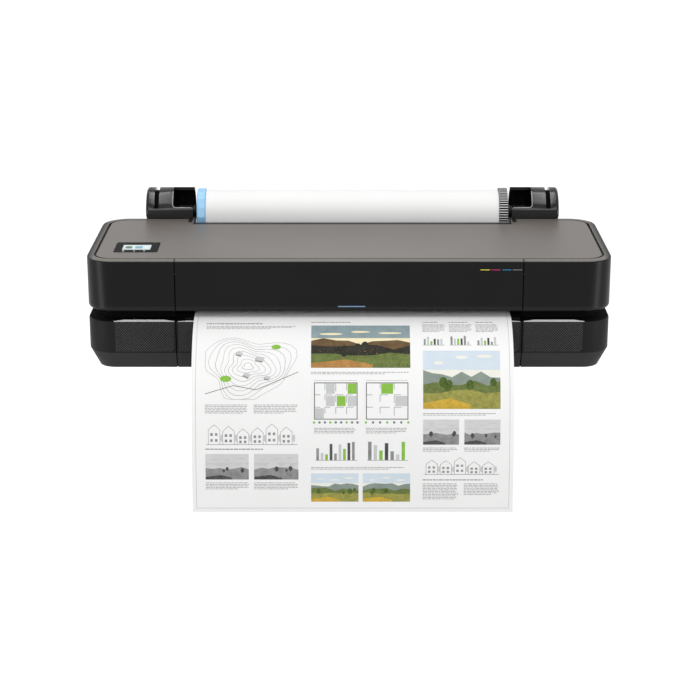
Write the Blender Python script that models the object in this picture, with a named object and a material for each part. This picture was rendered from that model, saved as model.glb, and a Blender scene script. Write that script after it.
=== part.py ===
"""A desktop large format roll plotter, built as separate pieces.

X runs across the machine, Y from front to back and Z up, in metres. The origin is the middle of
the plane that the machine stands on. Places in depth are given as setbacks from the front face.
"""

import math

import bmesh
import bpy
from mathutils import Matrix, Vector

for old in list(bpy.data.objects):
    bpy.data.objects.remove(old, do_unlink=True)

# Casing
BODY_WIDTH = 1.013
BODY_DEPTH = 0.345
CORNER_RADIUS = 0.052
FOOT_HEIGHT = 0.006
LOWER_HEIGHT = 0.098
NECK_HEIGHT = 0.019
UPPER_HEIGHT = 0.102
WALL = 0.003
SEAM = 0.002
FIT = 0.0004
MIDDLE_MARGIN = 0.02775
CHAMFER_HEIGHT = 0.035
CHAMFER_RUN = 0.018
CHAMFER_TOE = 0.0025
LOWER_EDGE_RADIUS = 0.003
UPPER_EDGE_RADIUS = 0.004
UPPER_BOTTOM_RADIUS = 0.007
UPPER_LIP = 0.036
COVER_LIP = 0.012
RIM_WIDTH = 0.0135
GROOVE_WIDTH = 0.004
PANEL_SEAT = 0.005
PANEL_THICKNESS = 0.004
PANEL_EDGE = 0.001
NECK_INSET = 0.030
LEDGE_WIDTH = 0.028
NOTCH_MARGIN = 0.0225
NOTCH_DEPTH = 0.034
NOTCH_RETURN = 0.012
BASE_THICKNESS = 0.0025
BASE_LIP = 0.014
CORNER_STEPS = 8

# Feet and stand seats
FOOT_RADIUS = 0.014
FOOT_INSET_X = 0.085
FOOT_INSET_Y = 0.062
SEAT_LENGTH = 0.190
SEAT_BREADTH = 0.060
SEAT_OFFSET = 0.300

# Front cover hinge
HINGE_SETBACK = 0.0085
HINGE_DROP = 0.008
HINGE_ROD_RADIUS = 0.002
HINGE_EYE_RADIUS = 0.0035
HINGE_EYE_WIDTH = 0.006
HINGE_PLAY = 0.0006
HINGE_INSET = 0.043
KNUCKLE_WIDTH = 0.004
RAIL_SETBACK = 0.0235
RAIL_DEPTH = 0.013
RAIL_HEIGHT = 0.024
RAIL_SHEET = 0.002
HINGE_STEM = 0.004
STATUS_WIDTH = 0.052
STATUS_HEIGHT = 0.0016
STATUS_FLANGE = 0.002
STATUS_RISE = 0.011
STATUS_OFFSET = 0.005

# Control panel
BEZEL_LEFT = 0.049
BEZEL_WIDTH = 0.085
BEZEL_SETBACK = 0.064
BEZEL_DEPTH = 0.076
BEZEL_POCKET = 0.0025
BEZEL_RAISE = 0.0006
BEZEL_CORNER = 0.004
SCREEN_LEFT = 0.0145
SCREEN_WIDTH = 0.056
SCREEN_NEAR = 0.017
SCREEN_DEPTH = 0.038
SCREEN_THICKNESS = 0.0012
BUTTON_RADIUS = 0.0035
BUTTON_INSET = 0.009
BUTTON_TRAVEL = 0.0012
BUTTON_RAISE = 0.0008
BUTTON_CLEARANCE = 0.0003

# Frame
FRAME_INSET = 0.0515
FRAME_SHEET = 0.002
FRAME_FRONT = 0.0235
FRAME_STEP = 0.040
FRAME_FROM_REAR = 0.045
FRAME_TOP = 0.212
BEAM_FROM_REAR = 0.139
BEAM_DEPTH = 0.035
BEAM_BOTTOM = 0.140
BEAM_HEIGHT = 0.070
BEAM_SHEET = 0.003
PLATEN_BEAM_FROM_REAR = 0.270
PLATEN_BEAM_DEPTH = 0.070
PLATEN_BEAM_HEIGHT = 0.028
PLATEN_BEAM_SHEET = 0.002
PLATEN_FROM_REAR = 0.255
PLATEN_DEPTH = 0.100
PLATEN_MARGIN = 0.020
PLATEN_FLOOR = 0.006
PLATEN_HEIGHT = 0.0145
RIB_PITCH = 0.030
RIB_WIDTH = 0.004
GUIDE_LIP_SETBACK = 0.012
GUIDE_PLATEN_GAP = 0.004
GUIDE_NOSE = 0.0035
GUIDE_LEG = 0.006
GUIDE_MARGIN = 0.018
ROD_FROM_REAR = 0.169
ROD_Z = 0.158
ROD_RADIUS = 0.006

# Paper
PAPER_WIDTH = 0.610
PAPER_OFFSET = 0.007
SHEET_THICKNESS = 0.0003
PAPER_LEVEL = 0.112
TURN_RADIUS = 0.110
TURN_GAP = 0.005
EXIT_SETBACK = 0.015
SHEET_BEND = 0.120
SHEET_HANG = 0.411
SHEET_STEPS = 26
REAR_COVER_TOP = 0.182
REAR_COVER_STEP = 0.010

# Roll, spindle and supports
ROLL_BEHIND = 0.041
ROLL_Z = 0.229
ROLL_RADIUS = 0.0465
CORE_RADIUS = 0.0285
CORE_WALL = 0.003
FLANGE_RADIUS = 0.050
FLANGE_WIDTH = 0.018
FLANGE_DISH = 0.004
FLANGE_SIDES = 16
FLANGE_RIBS = 60
RIB_DEPTH = 0.0018
HUB_LENGTH = 0.030
SPINDLE_RADIUS = 0.0135
JOURNAL_RADIUS = 0.010
SUPPORT_MARGIN = 0.026
SUPPORT_RADIUS = 0.052
SUPPORT_WIDTH = 0.098
SUPPORT_WALL = 0.006
SUPPORT_OVERHANG = 0.009
SUPPORT_CLEAR = 0.001
SUPPORT_FOOT_DEPTH = 0.052
SUPPORT_FOOT_Z = 0.128
SUPPORT_ROUND = 0.006
CRADLE_WIDTH = 0.042
CRADLE_RISE = 0.020
CRADLE_BACK = 0.016
SLOT_START = 0.071
SLOT_WIDTH = 0.009
SLOT_FLOOR = 0.018
SEAT_RIB_RISE = 0.004
SEAT_RIB_WIDTH = 0.006
SEAT_RIB_INSET = 0.008
BUSH_LENGTH = 0.028
JOURNAL_LENGTH = 0.034

# Carriage
CARRIAGE_INSET = 0.1625
CARRIAGE_WIDTH = 0.092
CARRIAGE_FROM_REAR = 0.245
CARRIAGE_DEPTH = 0.090
CARRIAGE_TOP = 0.200
CARRIAGE_BEVEL = 0.010
HEAD_GAP = 0.003
HEAD_HEIGHT = 0.010
HEAD_WIDTH = 0.060
HEAD_INSET = 0.012
HEAD_DEPTH = 0.036
HEAD_TAPER = 0.004
CARTRIDGE_PITCH = 0.0205
CARTRIDGE_WIDTH = 0.0180
CARTRIDGE_DEPTH = 0.064
CARTRIDGE_HEIGHT = 0.046
CARTRIDGE_PROUD = 0.005
CARTRIDGE_ROOF = 0.003
CARTRIDGE_GRIP = 0.004
ROD_PLAY = 0.0005

# Belt drive
PULLEY_RADIUS = 0.008
PULLEY_FLANGE = 0.0025
PULLEY_Z = 0.188
BELT_FROM_REAR = 0.1465
BELT_WIDTH = 0.006
BELT_THICKNESS = 0.0012
DRIVE_INSET = 0.025
IDLER_INSET = 0.014
CLAMP_WIDTH = 0.016
CLAMP_WALL = 0.003
CLAMP_PLAY = 0.0005
MOTOR_RADIUS = 0.018
MOTOR_LENGTH = 0.038
MOTOR_PLATE = 0.002
MOTOR_PLATE_SIDE = 0.044
SHAFT_RADIUS = 0.0025
SHAFT_DEPTH = 0.010
AXLE_RADIUS = 0.002
TAB_SHEET = 0.002
CABLE_WIDTH = 0.016
CABLE_THICKNESS = 0.0008
CABLE_FROM_REAR = 0.220
CABLE_LOOP_INSET = 0.059

# Feed drive
FEED_FROM_REAR = 0.140
FEED_RADIUS = 0.012
FEED_JOURNAL = 0.005
FEED_MARGIN = 0.020
GEAR_MODULE = 0.0015
GEAR_TEETH = 48
PINION_TEETH = 16
GEAR_WIDTH = 0.008
GEAR_BACKLASH = 0.0003
GEAR_SPREAD = 0.0003
PINION_ANGLE = 210.0
PINCH_RADIUS = 0.006
PINCH_AXLE = 0.002
PINCH_COUNT = 5
PINCH_LENGTH = 0.050
PINCH_ARM = 0.004
PINCH_PLATE = 0.004
MOTOR_FOOT = 0.024

# Service station and electronics
STATION_INSET = 0.0055
STATION_CLEAR = 0.0335
STATION_FROM_REAR = 0.249
STATION_DEPTH = 0.048
STATION_GAP = 0.0008
STATION_WALL = 0.003
CAP_DEPTH = 0.008
BOARD_THICKNESS = 0.0016
BOARD_STANDOFF = 0.007
BOARD_SETBACK = 0.060
BOARD_DEPTH = 0.200
BOARD_BOTTOM = 0.020
BOARD_HEIGHT = 0.076
SUPPLY_X = 0.200
SUPPLY_WIDTH = 0.160
SUPPLY_FROM_REAR = 0.113
SUPPLY_DEPTH = 0.085
SUPPLY_HEIGHT = 0.046
INLET_X = 0.200
INLET_Z = 0.072
INLET_WIDTH = 0.028
INLET_HEIGHT = 0.021
INLET_DEPTH = 0.022
INLET_WALL = 0.0025
INLET_PIN_SETBACK = 0.009
INLET_PIN_PITCH = 0.007
INLET_PIN_RISE = 0.002
INLET_PIN_WIDTH = 0.002
INLET_PIN_HEIGHT = 0.004
PORTS_X = -0.250
PORTS_WIDTH = 0.050
PORTS_HEIGHT = 0.018
SOCKET_WIDTH = 0.013
SOCKET_DEPTH = 0.012

# Levels and places that follow from the sizes
FRONT = -BODY_DEPTH / 2
REAR = BODY_DEPTH / 2
LOWER_BOTTOM = FOOT_HEIGHT
CHAMFER_TOP = LOWER_BOTTOM + CHAMFER_HEIGHT
LOWER_TOP = LOWER_BOTTOM + LOWER_HEIGHT
UPPER_BOTTOM = LOWER_TOP + NECK_HEIGHT
TOP = UPPER_BOTTOM + UPPER_HEIGHT
SEAT_Z = TOP - PANEL_THICKNESS - FIT
PANEL_INSET = RIM_WIDTH + GROOVE_WIDTH
SEAT_INSET = PANEL_INSET + PANEL_SEAT
BASE_TOP = LOWER_BOTTOM + BASE_THICKNESS
MIDDLE_WIDTH = PAPER_WIDTH + 2 * MIDDLE_MARGIN
HINGE_OFFSET = MIDDLE_WIDTH / 2 - HINGE_INSET
NOTCH_WIDTH = PAPER_WIDTH + 2 * NOTCH_MARGIN
SUPPORT_SPAN = PAPER_WIDTH + 2 * SUPPORT_MARGIN
FRAME_X = BODY_WIDTH / 2 - FRAME_INSET
DRIVE_X = DRIVE_INSET - FRAME_X
IDLER_X = FRAME_X - IDLER_INSET
CABLE_LOOP_X = FRAME_X - CABLE_LOOP_INSET
CARRIAGE_X = FRAME_X - CARRIAGE_INSET
FRAME_REAR = BODY_DEPTH - FRAME_FROM_REAR
BEAM_SETBACK = BODY_DEPTH - BEAM_FROM_REAR
PLATEN_BEAM_SETBACK = BODY_DEPTH - PLATEN_BEAM_FROM_REAR
PLATEN_SETBACK = BODY_DEPTH - PLATEN_FROM_REAR
GUIDE_REAR_SETBACK = PLATEN_SETBACK - GUIDE_PLATEN_GAP
ROD_SETBACK = BODY_DEPTH - ROD_FROM_REAR
ROLL_SETBACK = BODY_DEPTH + ROLL_BEHIND
CARRIAGE_SETBACK = BODY_DEPTH - CARRIAGE_FROM_REAR
HEAD_SETBACK = CARRIAGE_SETBACK + HEAD_INSET
BELT_SETBACK = BODY_DEPTH - BELT_FROM_REAR
CABLE_SETBACK = BODY_DEPTH - CABLE_FROM_REAR
FEED_SETBACK = BODY_DEPTH - FEED_FROM_REAR
STATION_SETBACK = BODY_DEPTH - STATION_FROM_REAR
SUPPLY_SETBACK = BODY_DEPTH - SUPPLY_FROM_REAR
NOTCH_Y = REAR - NOTCH_DEPTH
NOTCH_LEFT = PAPER_OFFSET - NOTCH_WIDTH / 2
NOTCH_RIGHT = PAPER_OFFSET + NOTCH_WIDTH / 2
PAPER_LEFT = PAPER_OFFSET - PAPER_WIDTH / 2
PAPER_RIGHT = PAPER_OFFSET + PAPER_WIDTH / 2
PAPER_TOP = PAPER_LEVEL + SHEET_THICKNESS
SUPPORT_LEFT = PAPER_OFFSET - SUPPORT_SPAN / 2
SUPPORT_RIGHT = PAPER_OFFSET + SUPPORT_SPAN / 2
FRAME_INSIDE = FRAME_X - FRAME_SHEET / 2 - FIT


def back(setback):
    """World Y of a setback from the front face."""
    return FRONT + setback


ROLL = (back(ROLL_SETBACK), ROLL_Z)
SHEET_Y = ROLL[0] - ROLL_RADIUS - FIT - SHEET_THICKNESS / 2
TURN = (SHEET_Y - TURN_RADIUS, PAPER_LEVEL + SHEET_THICKNESS / 2 + TURN_RADIUS)
HINGE = (back(HINGE_SETBACK), TOP - HINGE_DROP)
FEED = (back(FEED_SETBACK), PAPER_LEVEL - FIT - FEED_RADIUS)
PINCH = (back(FEED_SETBACK), PAPER_TOP + FIT + PINCH_RADIUS)
ROD = (back(ROD_SETBACK), ROD_Z)
HEAD_BOTTOM = PAPER_TOP + HEAD_GAP
CARRIAGE_BOTTOM = HEAD_BOTTOM + HEAD_HEIGHT
PLATEN_BEAM_TOP = PAPER_LEVEL - PLATEN_HEIGHT
BEZEL_X0 = -BODY_WIDTH / 2 + BEZEL_LEFT
PANEL_FLOOR = TOP - BEZEL_POCKET


def material(name, colour, roughness, metallic=0.0):
    """A Principled material of one colour."""
    made = bpy.data.materials.new(name)
    made.use_nodes = True
    shader = made.node_tree.nodes["Principled BSDF"]
    shader.inputs["Base Color"].default_value = (*colour, 1.0)
    shader.inputs["Roughness"].default_value = roughness
    shader.inputs["Metallic"].default_value = metallic
    made.diffuse_color = (*colour, 1.0)
    return made


CHARCOAL = material("charcoal_plastic", (0.030, 0.031, 0.033), 0.42)
TAUPE = material("taupe_plastic", (0.215, 0.200, 0.186), 0.50)
BLACK = material("black_plastic", (0.012, 0.012, 0.013), 0.45)
RUBBER = material("rubber", (0.018, 0.018, 0.018), 0.85)
STEEL = material("sheet_steel", (0.52, 0.53, 0.54), 0.35, 1.0)
ROD_STEEL = material("ground_steel", (0.62, 0.62, 0.62), 0.18, 1.0)
BLUE = material("blue_plastic", (0.290, 0.520, 0.790), 0.40)
PAPER = material("paper", (0.860, 0.860, 0.850), 0.80)
CARD = material("core_card", (0.400, 0.290, 0.180), 0.85)
GREY = material("grey_plastic", (0.250, 0.250, 0.255), 0.50)
GLASS = material("screen_glass", (0.020, 0.022, 0.025), 0.10)
LIGHT = material("light_guide", (0.150, 0.400, 0.900), 0.30)
BOARD = material("circuit_board", (0.020, 0.140, 0.060), 0.55)
YELLOW = material("yellow_ink", (0.800, 0.600, 0.030), 0.40)
MAGENTA = material("magenta_ink", (0.560, 0.020, 0.250), 0.40)
CYAN = material("cyan_ink", (0.010, 0.330, 0.600), 0.40)


def arc(cu, cv, radius, start, end, steps):
    """Points on a circle in a plane, from start to end in degrees."""
    turns = [math.radians(start + (end - start) * k / steps) for k in range(steps + 1)]
    return [(cu + radius * math.cos(t), cv + radius * math.sin(t)) for t in turns]


def place(axis, along, u, v):
    """A point at a distance along an axis, with two coordinates across it."""
    return {"X": (along, u, v), "Y": (u, along, v), "Z": (u, v, along)}[axis]


def finish(name, bm, mat):
    """The mesh as a named object with outward faces and smooth round sides."""
    bmesh.ops.remove_doubles(bm, verts=bm.verts, dist=1e-6)
    bmesh.ops.recalc_face_normals(bm, faces=bm.faces)
    mesh = bpy.data.meshes.new(name)
    bm.to_mesh(mesh)
    bm.free()
    mesh.materials.append(mat)
    mesh.shade_smooth()
    mesh.set_sharp_from_angle(angle=math.radians(35))
    obj = bpy.data.objects.new(name, mesh)
    bpy.context.collection.objects.link(obj)
    return obj


def extruded(name, mat, axis, start, end, outline):
    """A closed outline drawn out along an axis."""
    bm = bmesh.new()
    face = bm.faces.new([bm.verts.new(place(axis, start, u, v)) for u, v in outline])
    made = bmesh.ops.extrude_face_region(bm, geom=[face])
    moved = [g for g in made["geom"] if isinstance(g, bmesh.types.BMVert)]
    bmesh.ops.translate(bm, verts=moved, vec=Vector(place(axis, end - start, 0.0, 0.0)))
    return finish(name, bm, mat)


def block(name, mat, x, y, z):
    """A rectangular solid between pairs of limits."""
    return extruded(name, mat, "Z", z[0], z[1], rectangle(x, y))


def rectangle(u, v, radius=0.0, steps=3):
    """A rectangle's outline, with round corners if a radius is given."""
    if radius <= 0.0:
        return [(u[0], v[0]), (u[1], v[0]), (u[1], v[1]), (u[0], v[1])]
    corners = ((u[1], v[0], -90), (u[1], v[1], 0), (u[0], v[1], 90), (u[0], v[0], 180))
    points = []
    for cu, cv, start in corners:
        mu = cu - radius if cu == u[1] else cu + radius
        mv = cv - radius if cv == v[1] else cv + radius
        points += arc(mu, mv, radius, start, start + 90, steps)
    return points


def turned(name, mat, axis, centre, profile, steps=32, hollow=False):
    """A profile of (along, radius) points spun about an axis; a hollow one is a closed loop."""
    bm = bmesh.new()
    cu, cv = centre
    verts = [bm.verts.new(place(axis, along, cu + radius, cv)) for along, radius in profile]
    edges = [bm.edges.new(pair) for pair in zip(verts, verts[1:])]
    if hollow:
        edges.append(bm.edges.new((verts[-1], verts[0])))
    bmesh.ops.spin(bm, geom=verts + edges, cent=place(axis, 0.0, cu, cv),
                   axis=place(axis, 1.0, 0.0, 0.0), angle=math.tau, steps=steps, use_merge=True)
    return finish(name, bm, mat)


def cylinder(name, mat, axis, centre, start, end, radius, steps=32):
    """A plain round bar."""
    profile = [(start, 0.0), (start, radius), (end, radius), (end, 0.0)]
    return turned(name, mat, axis, centre, profile, steps)


def lofted(name, mat, sections, closed=False):
    """Sections with equal counts of points, joined in order; a closed loft has no end caps."""
    bm = bmesh.new()
    rings = [[bm.verts.new(point) for point in section] for section in sections]
    pairs = list(zip(rings, rings[1:]))
    if closed:
        pairs.append((rings[-1], rings[0]))
    for a, b in pairs:
        for i in range(len(a)):
            j = (i + 1) % len(a)
            bm.faces.new((a[i], a[j], b[j], b[i]))
    if not closed:
        bm.faces.new(rings[0])
        bm.faces.new(rings[-1])
    return finish(name, bm, mat)


def combine(obj, tool, operation):
    """A Boolean with a tool shape that stays in the file as a wire guide."""
    step = obj.modifiers.new(operation.title(), "BOOLEAN")
    step.operation = operation
    step.solver = "EXACT"
    step.object = tool
    tool.hide_render = True
    tool.display_type = "WIRE"


def cut(obj, tool):
    combine(obj, tool, "DIFFERENCE")


def fuse(obj, tool):
    combine(obj, tool, "UNION")


def carried(name, pivot, *pieces):
    """An empty on a joint's axis that carries the pieces of one moving body."""
    axis = bpy.data.objects.new(name, None)
    axis.location = pivot
    axis.empty_display_size = 0.02
    bpy.context.collection.objects.link(axis)
    for piece in pieces:
        piece.parent = axis
        piece.matrix_parent_inverse = Matrix.Translation(pivot).inverted()
    print(name, [round(v, 5) for v in pivot])
    return axis


# Casing mouldings: a wall profile of (inset, height) points swept along a run of the plan outline

def swept(name, mat, path, profile):
    return lofted(name, mat, [[(p[0] + n[0] * d, p[1] + n[1] * d, z) for d, z in profile]
                              for p, n in path])


def end_path(side, notch_x=None):
    """The plan run of one end: front, both corners, rear and, on the upper body, the notch."""
    half = BODY_WIDTH / 2
    start = MIDDLE_WIDTH / 2 + SEAM
    run = [((start, FRONT), (0, 1))]
    for cy, first in ((FRONT + CORNER_RADIUS, -90), (REAR - CORNER_RADIUS, 0)):
        centre = half - CORNER_RADIUS
        points = arc(centre, cy, CORNER_RADIUS, first, first + 90, CORNER_STEPS)
        run += [((x, y), ((centre - x) / CORNER_RADIUS, (cy - y) / CORNER_RADIUS))
                for x, y in points]
    if notch_x is None:
        run.append(((start, REAR), (0, -1)))
    else:
        run += [((notch_x, REAR), (1, -1)), ((notch_x, NOTCH_Y - NOTCH_RETURN), (1, 0))]
    return [((x * side, y), (nx * side, ny)) for (x, y), (nx, ny) in run]


def middle_path(y, inward):
    half = MIDDLE_WIDTH / 2
    return [((-half, y), (0, inward)), ((half, y), (0, inward))]


def upper_profile(lip, seat):
    """The upper body's wall: round bottom edge, straight face, round top edge and rim."""
    low, high = UPPER_BOTTOM_RADIUS, UPPER_EDGE_RADIUS
    points = arc(low, UPPER_BOTTOM + low, low, 270, 180, 4)
    points += arc(high, TOP - high, high, 180, 90, 3)
    points.append((RIM_WIDTH, TOP))
    if seat:
        points += [(RIM_WIDTH, SEAT_Z), (SEAT_INSET, SEAT_Z), (SEAT_INSET, SEAT_Z - WALL),
                   (WALL, SEAT_Z - WALL)]
    else:
        points += [(RIM_WIDTH, TOP - WALL), (WALL, TOP - WALL)]
    points += arc(low, UPPER_BOTTOM + low, low - WALL, 180, 270, 2)
    points += [(lip, UPPER_BOTTOM + WALL), (lip, UPPER_BOTTOM)]
    return points


def lower_profile(neck):
    """The lower body's wall: chamfered foot, straight face and a top ledge or a neck."""
    lip_z = BASE_TOP + FIT
    edge = LOWER_EDGE_RADIUS
    points = [(CHAMFER_RUN, LOWER_BOTTOM), (0.0, CHAMFER_TOP)]
    points += arc(edge, LOWER_TOP - edge, edge, 180, 90, 2)
    if neck:
        points += [(NECK_INSET, LOWER_TOP), (NECK_INSET, UPPER_BOTTOM - FIT),
                   (NECK_INSET + WALL, UPPER_BOTTOM - FIT), (NECK_INSET + WALL, LOWER_TOP - WALL)]
    else:
        points += [(LEDGE_WIDTH, LOWER_TOP), (LEDGE_WIDTH, LOWER_TOP - WALL)]
    points += [(WALL, LOWER_TOP - WALL), (WALL, CHAMFER_TOP + WALL * CHAMFER_RUN / CHAMFER_HEIGHT)]
    toe = CHAMFER_RUN + CHAMFER_TOE
    points += [(toe, lip_z + WALL), (toe + BASE_LIP, lip_z + WALL), (toe + BASE_LIP, lip_z),
               (toe, lip_z), (toe, LOWER_BOTTOM)]
    return points


upper_right_run = end_path(1, NOTCH_RIGHT)
upper_left_run = end_path(-1, -NOTCH_LEFT)
end_profile = upper_profile(UPPER_LIP, True)
upper_end_left = swept("upper_end_left", CHARCOAL, upper_left_run, end_profile)
upper_end_right = swept("upper_end_right", CHARCOAL, upper_right_run, end_profile)
lower_end_left = swept("lower_end_left", CHARCOAL, end_path(-1), lower_profile(True))
lower_end_right = swept("lower_end_right", CHARCOAL, end_path(1), lower_profile(True))
lower_front_panel = swept("lower_front_panel", CHARCOAL, middle_path(FRONT, 1), lower_profile(False))
lower_rear_panel = swept("lower_rear_panel", CHARCOAL, middle_path(REAR, -1), lower_profile(False))


def inset_loop(run_right, run_left, inset):
    """The plan outline inside a run of casing walls."""
    points = [(p[0] + n[0] * inset, p[1] + n[1] * inset) for p, n in run_right]
    return points + [(p[0] + n[0] * inset, p[1] + n[1] * inset) for p, n in reversed(run_left)]


# Base pan with the two seats for the stand, and the four feet
pan_inset = CHAMFER_RUN + CHAMFER_TOE + SEAM
pan_loop = inset_loop(end_path(1), end_path(-1), pan_inset)
base_pan = extruded("base_pan", STEEL, "Z", LOWER_BOTTOM, BASE_TOP, pan_loop)
for side in (-1, 1):
    seat = block("stand_seat_shape", STEEL,
                 (side * SEAT_OFFSET - SEAT_BREADTH / 2, side * SEAT_OFFSET + SEAT_BREADTH / 2),
                 (-SEAT_LENGTH / 2, SEAT_LENGTH / 2), (0.0, LOWER_BOTTOM + BASE_THICKNESS / 2))
    fuse(base_pan, seat)
for end, sx in (("left", -1), ("right", 1)):
    for row, sy in (("front", -1), ("rear", 1)):
        centre = (sx * (BODY_WIDTH / 2 - FOOT_INSET_X), sy * (BODY_DEPTH / 2 - FOOT_INSET_Y))
        turned("foot_%s_%s" % (row, end), RUBBER, "Z", centre,
               [(LOWER_BOTTOM - FIT, 0.0), (LOWER_BOTTOM - FIT, FOOT_RADIUS),
                (FOOT_HEIGHT / 4, FOOT_RADIUS), (0.0, FOOT_RADIUS - FOOT_HEIGHT / 4), (0.0, 0.0)], 16)

# Top panel, dropped into the rim on its seat
panel_right = upper_right_run[:-1] + [((NOTCH_RIGHT, NOTCH_Y), (1, -1))]
panel_left = upper_left_run[:-1] + [((NOTCH_LEFT, NOTCH_Y), (-1, -1))]
panel_levels = ((TOP - PANEL_THICKNESS, 0.0), (TOP - PANEL_EDGE, 0.0), (TOP, PANEL_EDGE))
top_panel = lofted("top_panel", TAUPE, [
    [(x, y, z) for x, y in inset_loop(panel_right, panel_left, PANEL_INSET + more)]
    for z, more in panel_levels])

# Control panel in a pocket of the top panel
bezel_x = (BEZEL_X0, BEZEL_X0 + BEZEL_WIDTH)
bezel_y = (back(BEZEL_SETBACK), back(BEZEL_SETBACK + BEZEL_DEPTH))
pocket = extruded("bezel_pocket", TAUPE, "Z", PANEL_FLOOR, TOP + PANEL_THICKNESS, rectangle(
    (bezel_x[0] - FIT, bezel_x[1] + FIT), (bezel_y[0] - FIT, bezel_y[1] + FIT), BEZEL_CORNER + FIT))
cut(top_panel, pocket)
bezel_top = TOP + BEZEL_RAISE
control_bezel = extruded("control_bezel", BLACK, "Z", PANEL_FLOOR + FIT, bezel_top,
                         rectangle(bezel_x, bezel_y, BEZEL_CORNER))
screen_x = (BEZEL_X0 + SCREEN_LEFT, BEZEL_X0 + SCREEN_LEFT + SCREEN_WIDTH)
screen_y = (bezel_y[0] + SCREEN_NEAR, bezel_y[0] + SCREEN_NEAR + SCREEN_DEPTH)
cut(control_bezel, block("screen_pocket", BLACK, (screen_x[0] - FIT, screen_x[1] + FIT),
                         (screen_y[0] - FIT, screen_y[1] + FIT),
                         (bezel_top - SCREEN_THICKNESS - FIT, bezel_top + SCREEN_THICKNESS)))
control_screen = block("control_screen", GLASS, screen_x, screen_y,
                       (bezel_top - SCREEN_THICKNESS, bezel_top))
button_at = (bezel_x[1] - BUTTON_INSET, bezel_y[1] - BUTTON_INSET)
cut(control_bezel, cylinder("button_hole", BLACK, "Z", button_at, PANEL_FLOOR, TOP + PANEL_THICKNESS,
                            BUTTON_RADIUS + BUTTON_CLEARANCE, 16))
button_foot = PANEL_FLOOR + BUTTON_TRAVEL + FIT
button_head = bezel_top + BUTTON_RAISE
power_button = turned("power_button", GREY, "Z", button_at, [
    (button_foot, 0.0), (button_foot, BUTTON_RADIUS), (button_head - BUTTON_RAISE / 2, BUTTON_RADIUS),
    (button_head, BUTTON_RADIUS - BUTTON_RAISE), (button_head, 0.0)], 16)
carried("power_button_axis", (*button_at, button_head), power_button)

# Front cover with its hinge knuckles
front_cover = swept("front_cover", CHARCOAL, middle_path(FRONT, 1), upper_profile(COVER_LIP, False))
hinge_places = (-HINGE_OFFSET, HINGE_OFFSET)
knuckle = ([(back(WALL / 2), HINGE[1] + HINGE_EYE_RADIUS), (back(WALL / 2), HINGE[1] - HINGE_EYE_RADIUS)]
           + arc(*HINGE, HINGE_EYE_RADIUS, -90, 90, 8))
for x in hinge_places:
    for side in (-1, 1):
        near = x + side * (HINGE_EYE_WIDTH / 2 + HINGE_PLAY)
        fuse(front_cover, extruded("knuckle_shape", CHARCOAL, "X", near, near + side * KNUCKLE_WIDTH,
                                   knuckle))
rod_end = HINGE_OFFSET + HINGE_EYE_WIDTH / 2 + HINGE_PLAY + KNUCKLE_WIDTH
cut(front_cover, cylinder("knuckle_bore", CHARCOAL, "X", HINGE, -rod_end - WALL, rod_end + WALL,
                          HINGE_ROD_RADIUS + FIT, 16))
hinge_rod = cylinder("hinge_rod", ROD_STEEL, "X", HINGE, -rod_end, rod_end, HINGE_ROD_RADIUS, 16)

# Status light: a light guide in a slot of the front cover, flanged behind its wall
status_z = UPPER_BOTTOM + STATUS_RISE
status_x = (STATUS_OFFSET - STATUS_WIDTH / 2, STATUS_OFFSET + STATUS_WIDTH / 2)
status_half = STATUS_HEIGHT / 2
cut(front_cover, extruded("status_slot", CHARCOAL, "Y", FRONT - WALL, FRONT + 2 * WALL, rectangle(
    (status_x[0] - FIT, status_x[1] + FIT),
    (status_z - status_half - FIT, status_z + status_half + FIT))))
flange_y = (back(WALL + FIT), back(WALL + FIT + STATUS_FLANGE))
status_light = extruded("status_light", LIGHT, "X", status_x[0], status_x[1], [
    (FRONT, status_z - status_half), (flange_y[0], status_z - status_half),
    (flange_y[0], status_z - status_half - STATUS_FLANGE),
    (flange_y[1], status_z - status_half - STATUS_FLANGE),
    (flange_y[1], status_z + status_half + STATUS_FLANGE),
    (flange_y[0], status_z + status_half + STATUS_FLANGE),
    (flange_y[0], status_z + status_half), (FRONT, status_z + status_half)])
carried("front_cover_axis", (0.0, *HINGE), front_cover, status_light)


# Frame: side plates, front rail with hinge ears, carriage beam, platen beam

def channel(y0, depth, z0, height, sheet, opening):
    """A folded channel's section, open towards +Y, +Z or -Z."""
    y1, z1 = y0 + depth, z0 + height
    if opening == "rear":
        return [(y0, z0), (y1, z0), (y1, z0 + sheet), (y0 + sheet, z0 + sheet),
                (y0 + sheet, z1 - sheet), (y1, z1 - sheet), (y1, z1), (y0, z1)]
    return [(y0, z0), (y0 + sheet, z0), (y0 + sheet, z1 - sheet), (y1 - sheet, z1 - sheet),
            (y1 - sheet, z0), (y1, z0), (y1, z1), (y0, z1)]


rail_top = SEAT_Z
front_rail = extruded("front_rail", STEEL, "X", -FRAME_INSIDE, FRAME_INSIDE, channel(
    back(RAIL_SETBACK), RAIL_DEPTH, rail_top - RAIL_HEIGHT, RAIL_HEIGHT, RAIL_SHEET, "down"))
stem = HINGE_STEM / 2
reach = math.degrees(math.asin(stem / HINGE_EYE_RADIUS))
ear_low = rail_top - RAIL_HEIGHT
ear = ([(back(RAIL_SETBACK) + RAIL_SHEET / 2, ear_low),
        (back(RAIL_SETBACK) + RAIL_SHEET / 2, ear_low + HINGE_STEM),
        (HINGE[0] + stem, ear_low + HINGE_STEM)]
       + arc(*HINGE, HINGE_EYE_RADIUS, -90 + reach, 270 - reach, 12)
       + [(HINGE[0] - stem, ear_low)])
for x in hinge_places:
    fuse(front_rail, extruded("hinge_ear_shape", STEEL, "X", x - HINGE_EYE_WIDTH / 2,
                              x + HINGE_EYE_WIDTH / 2, ear))
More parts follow.
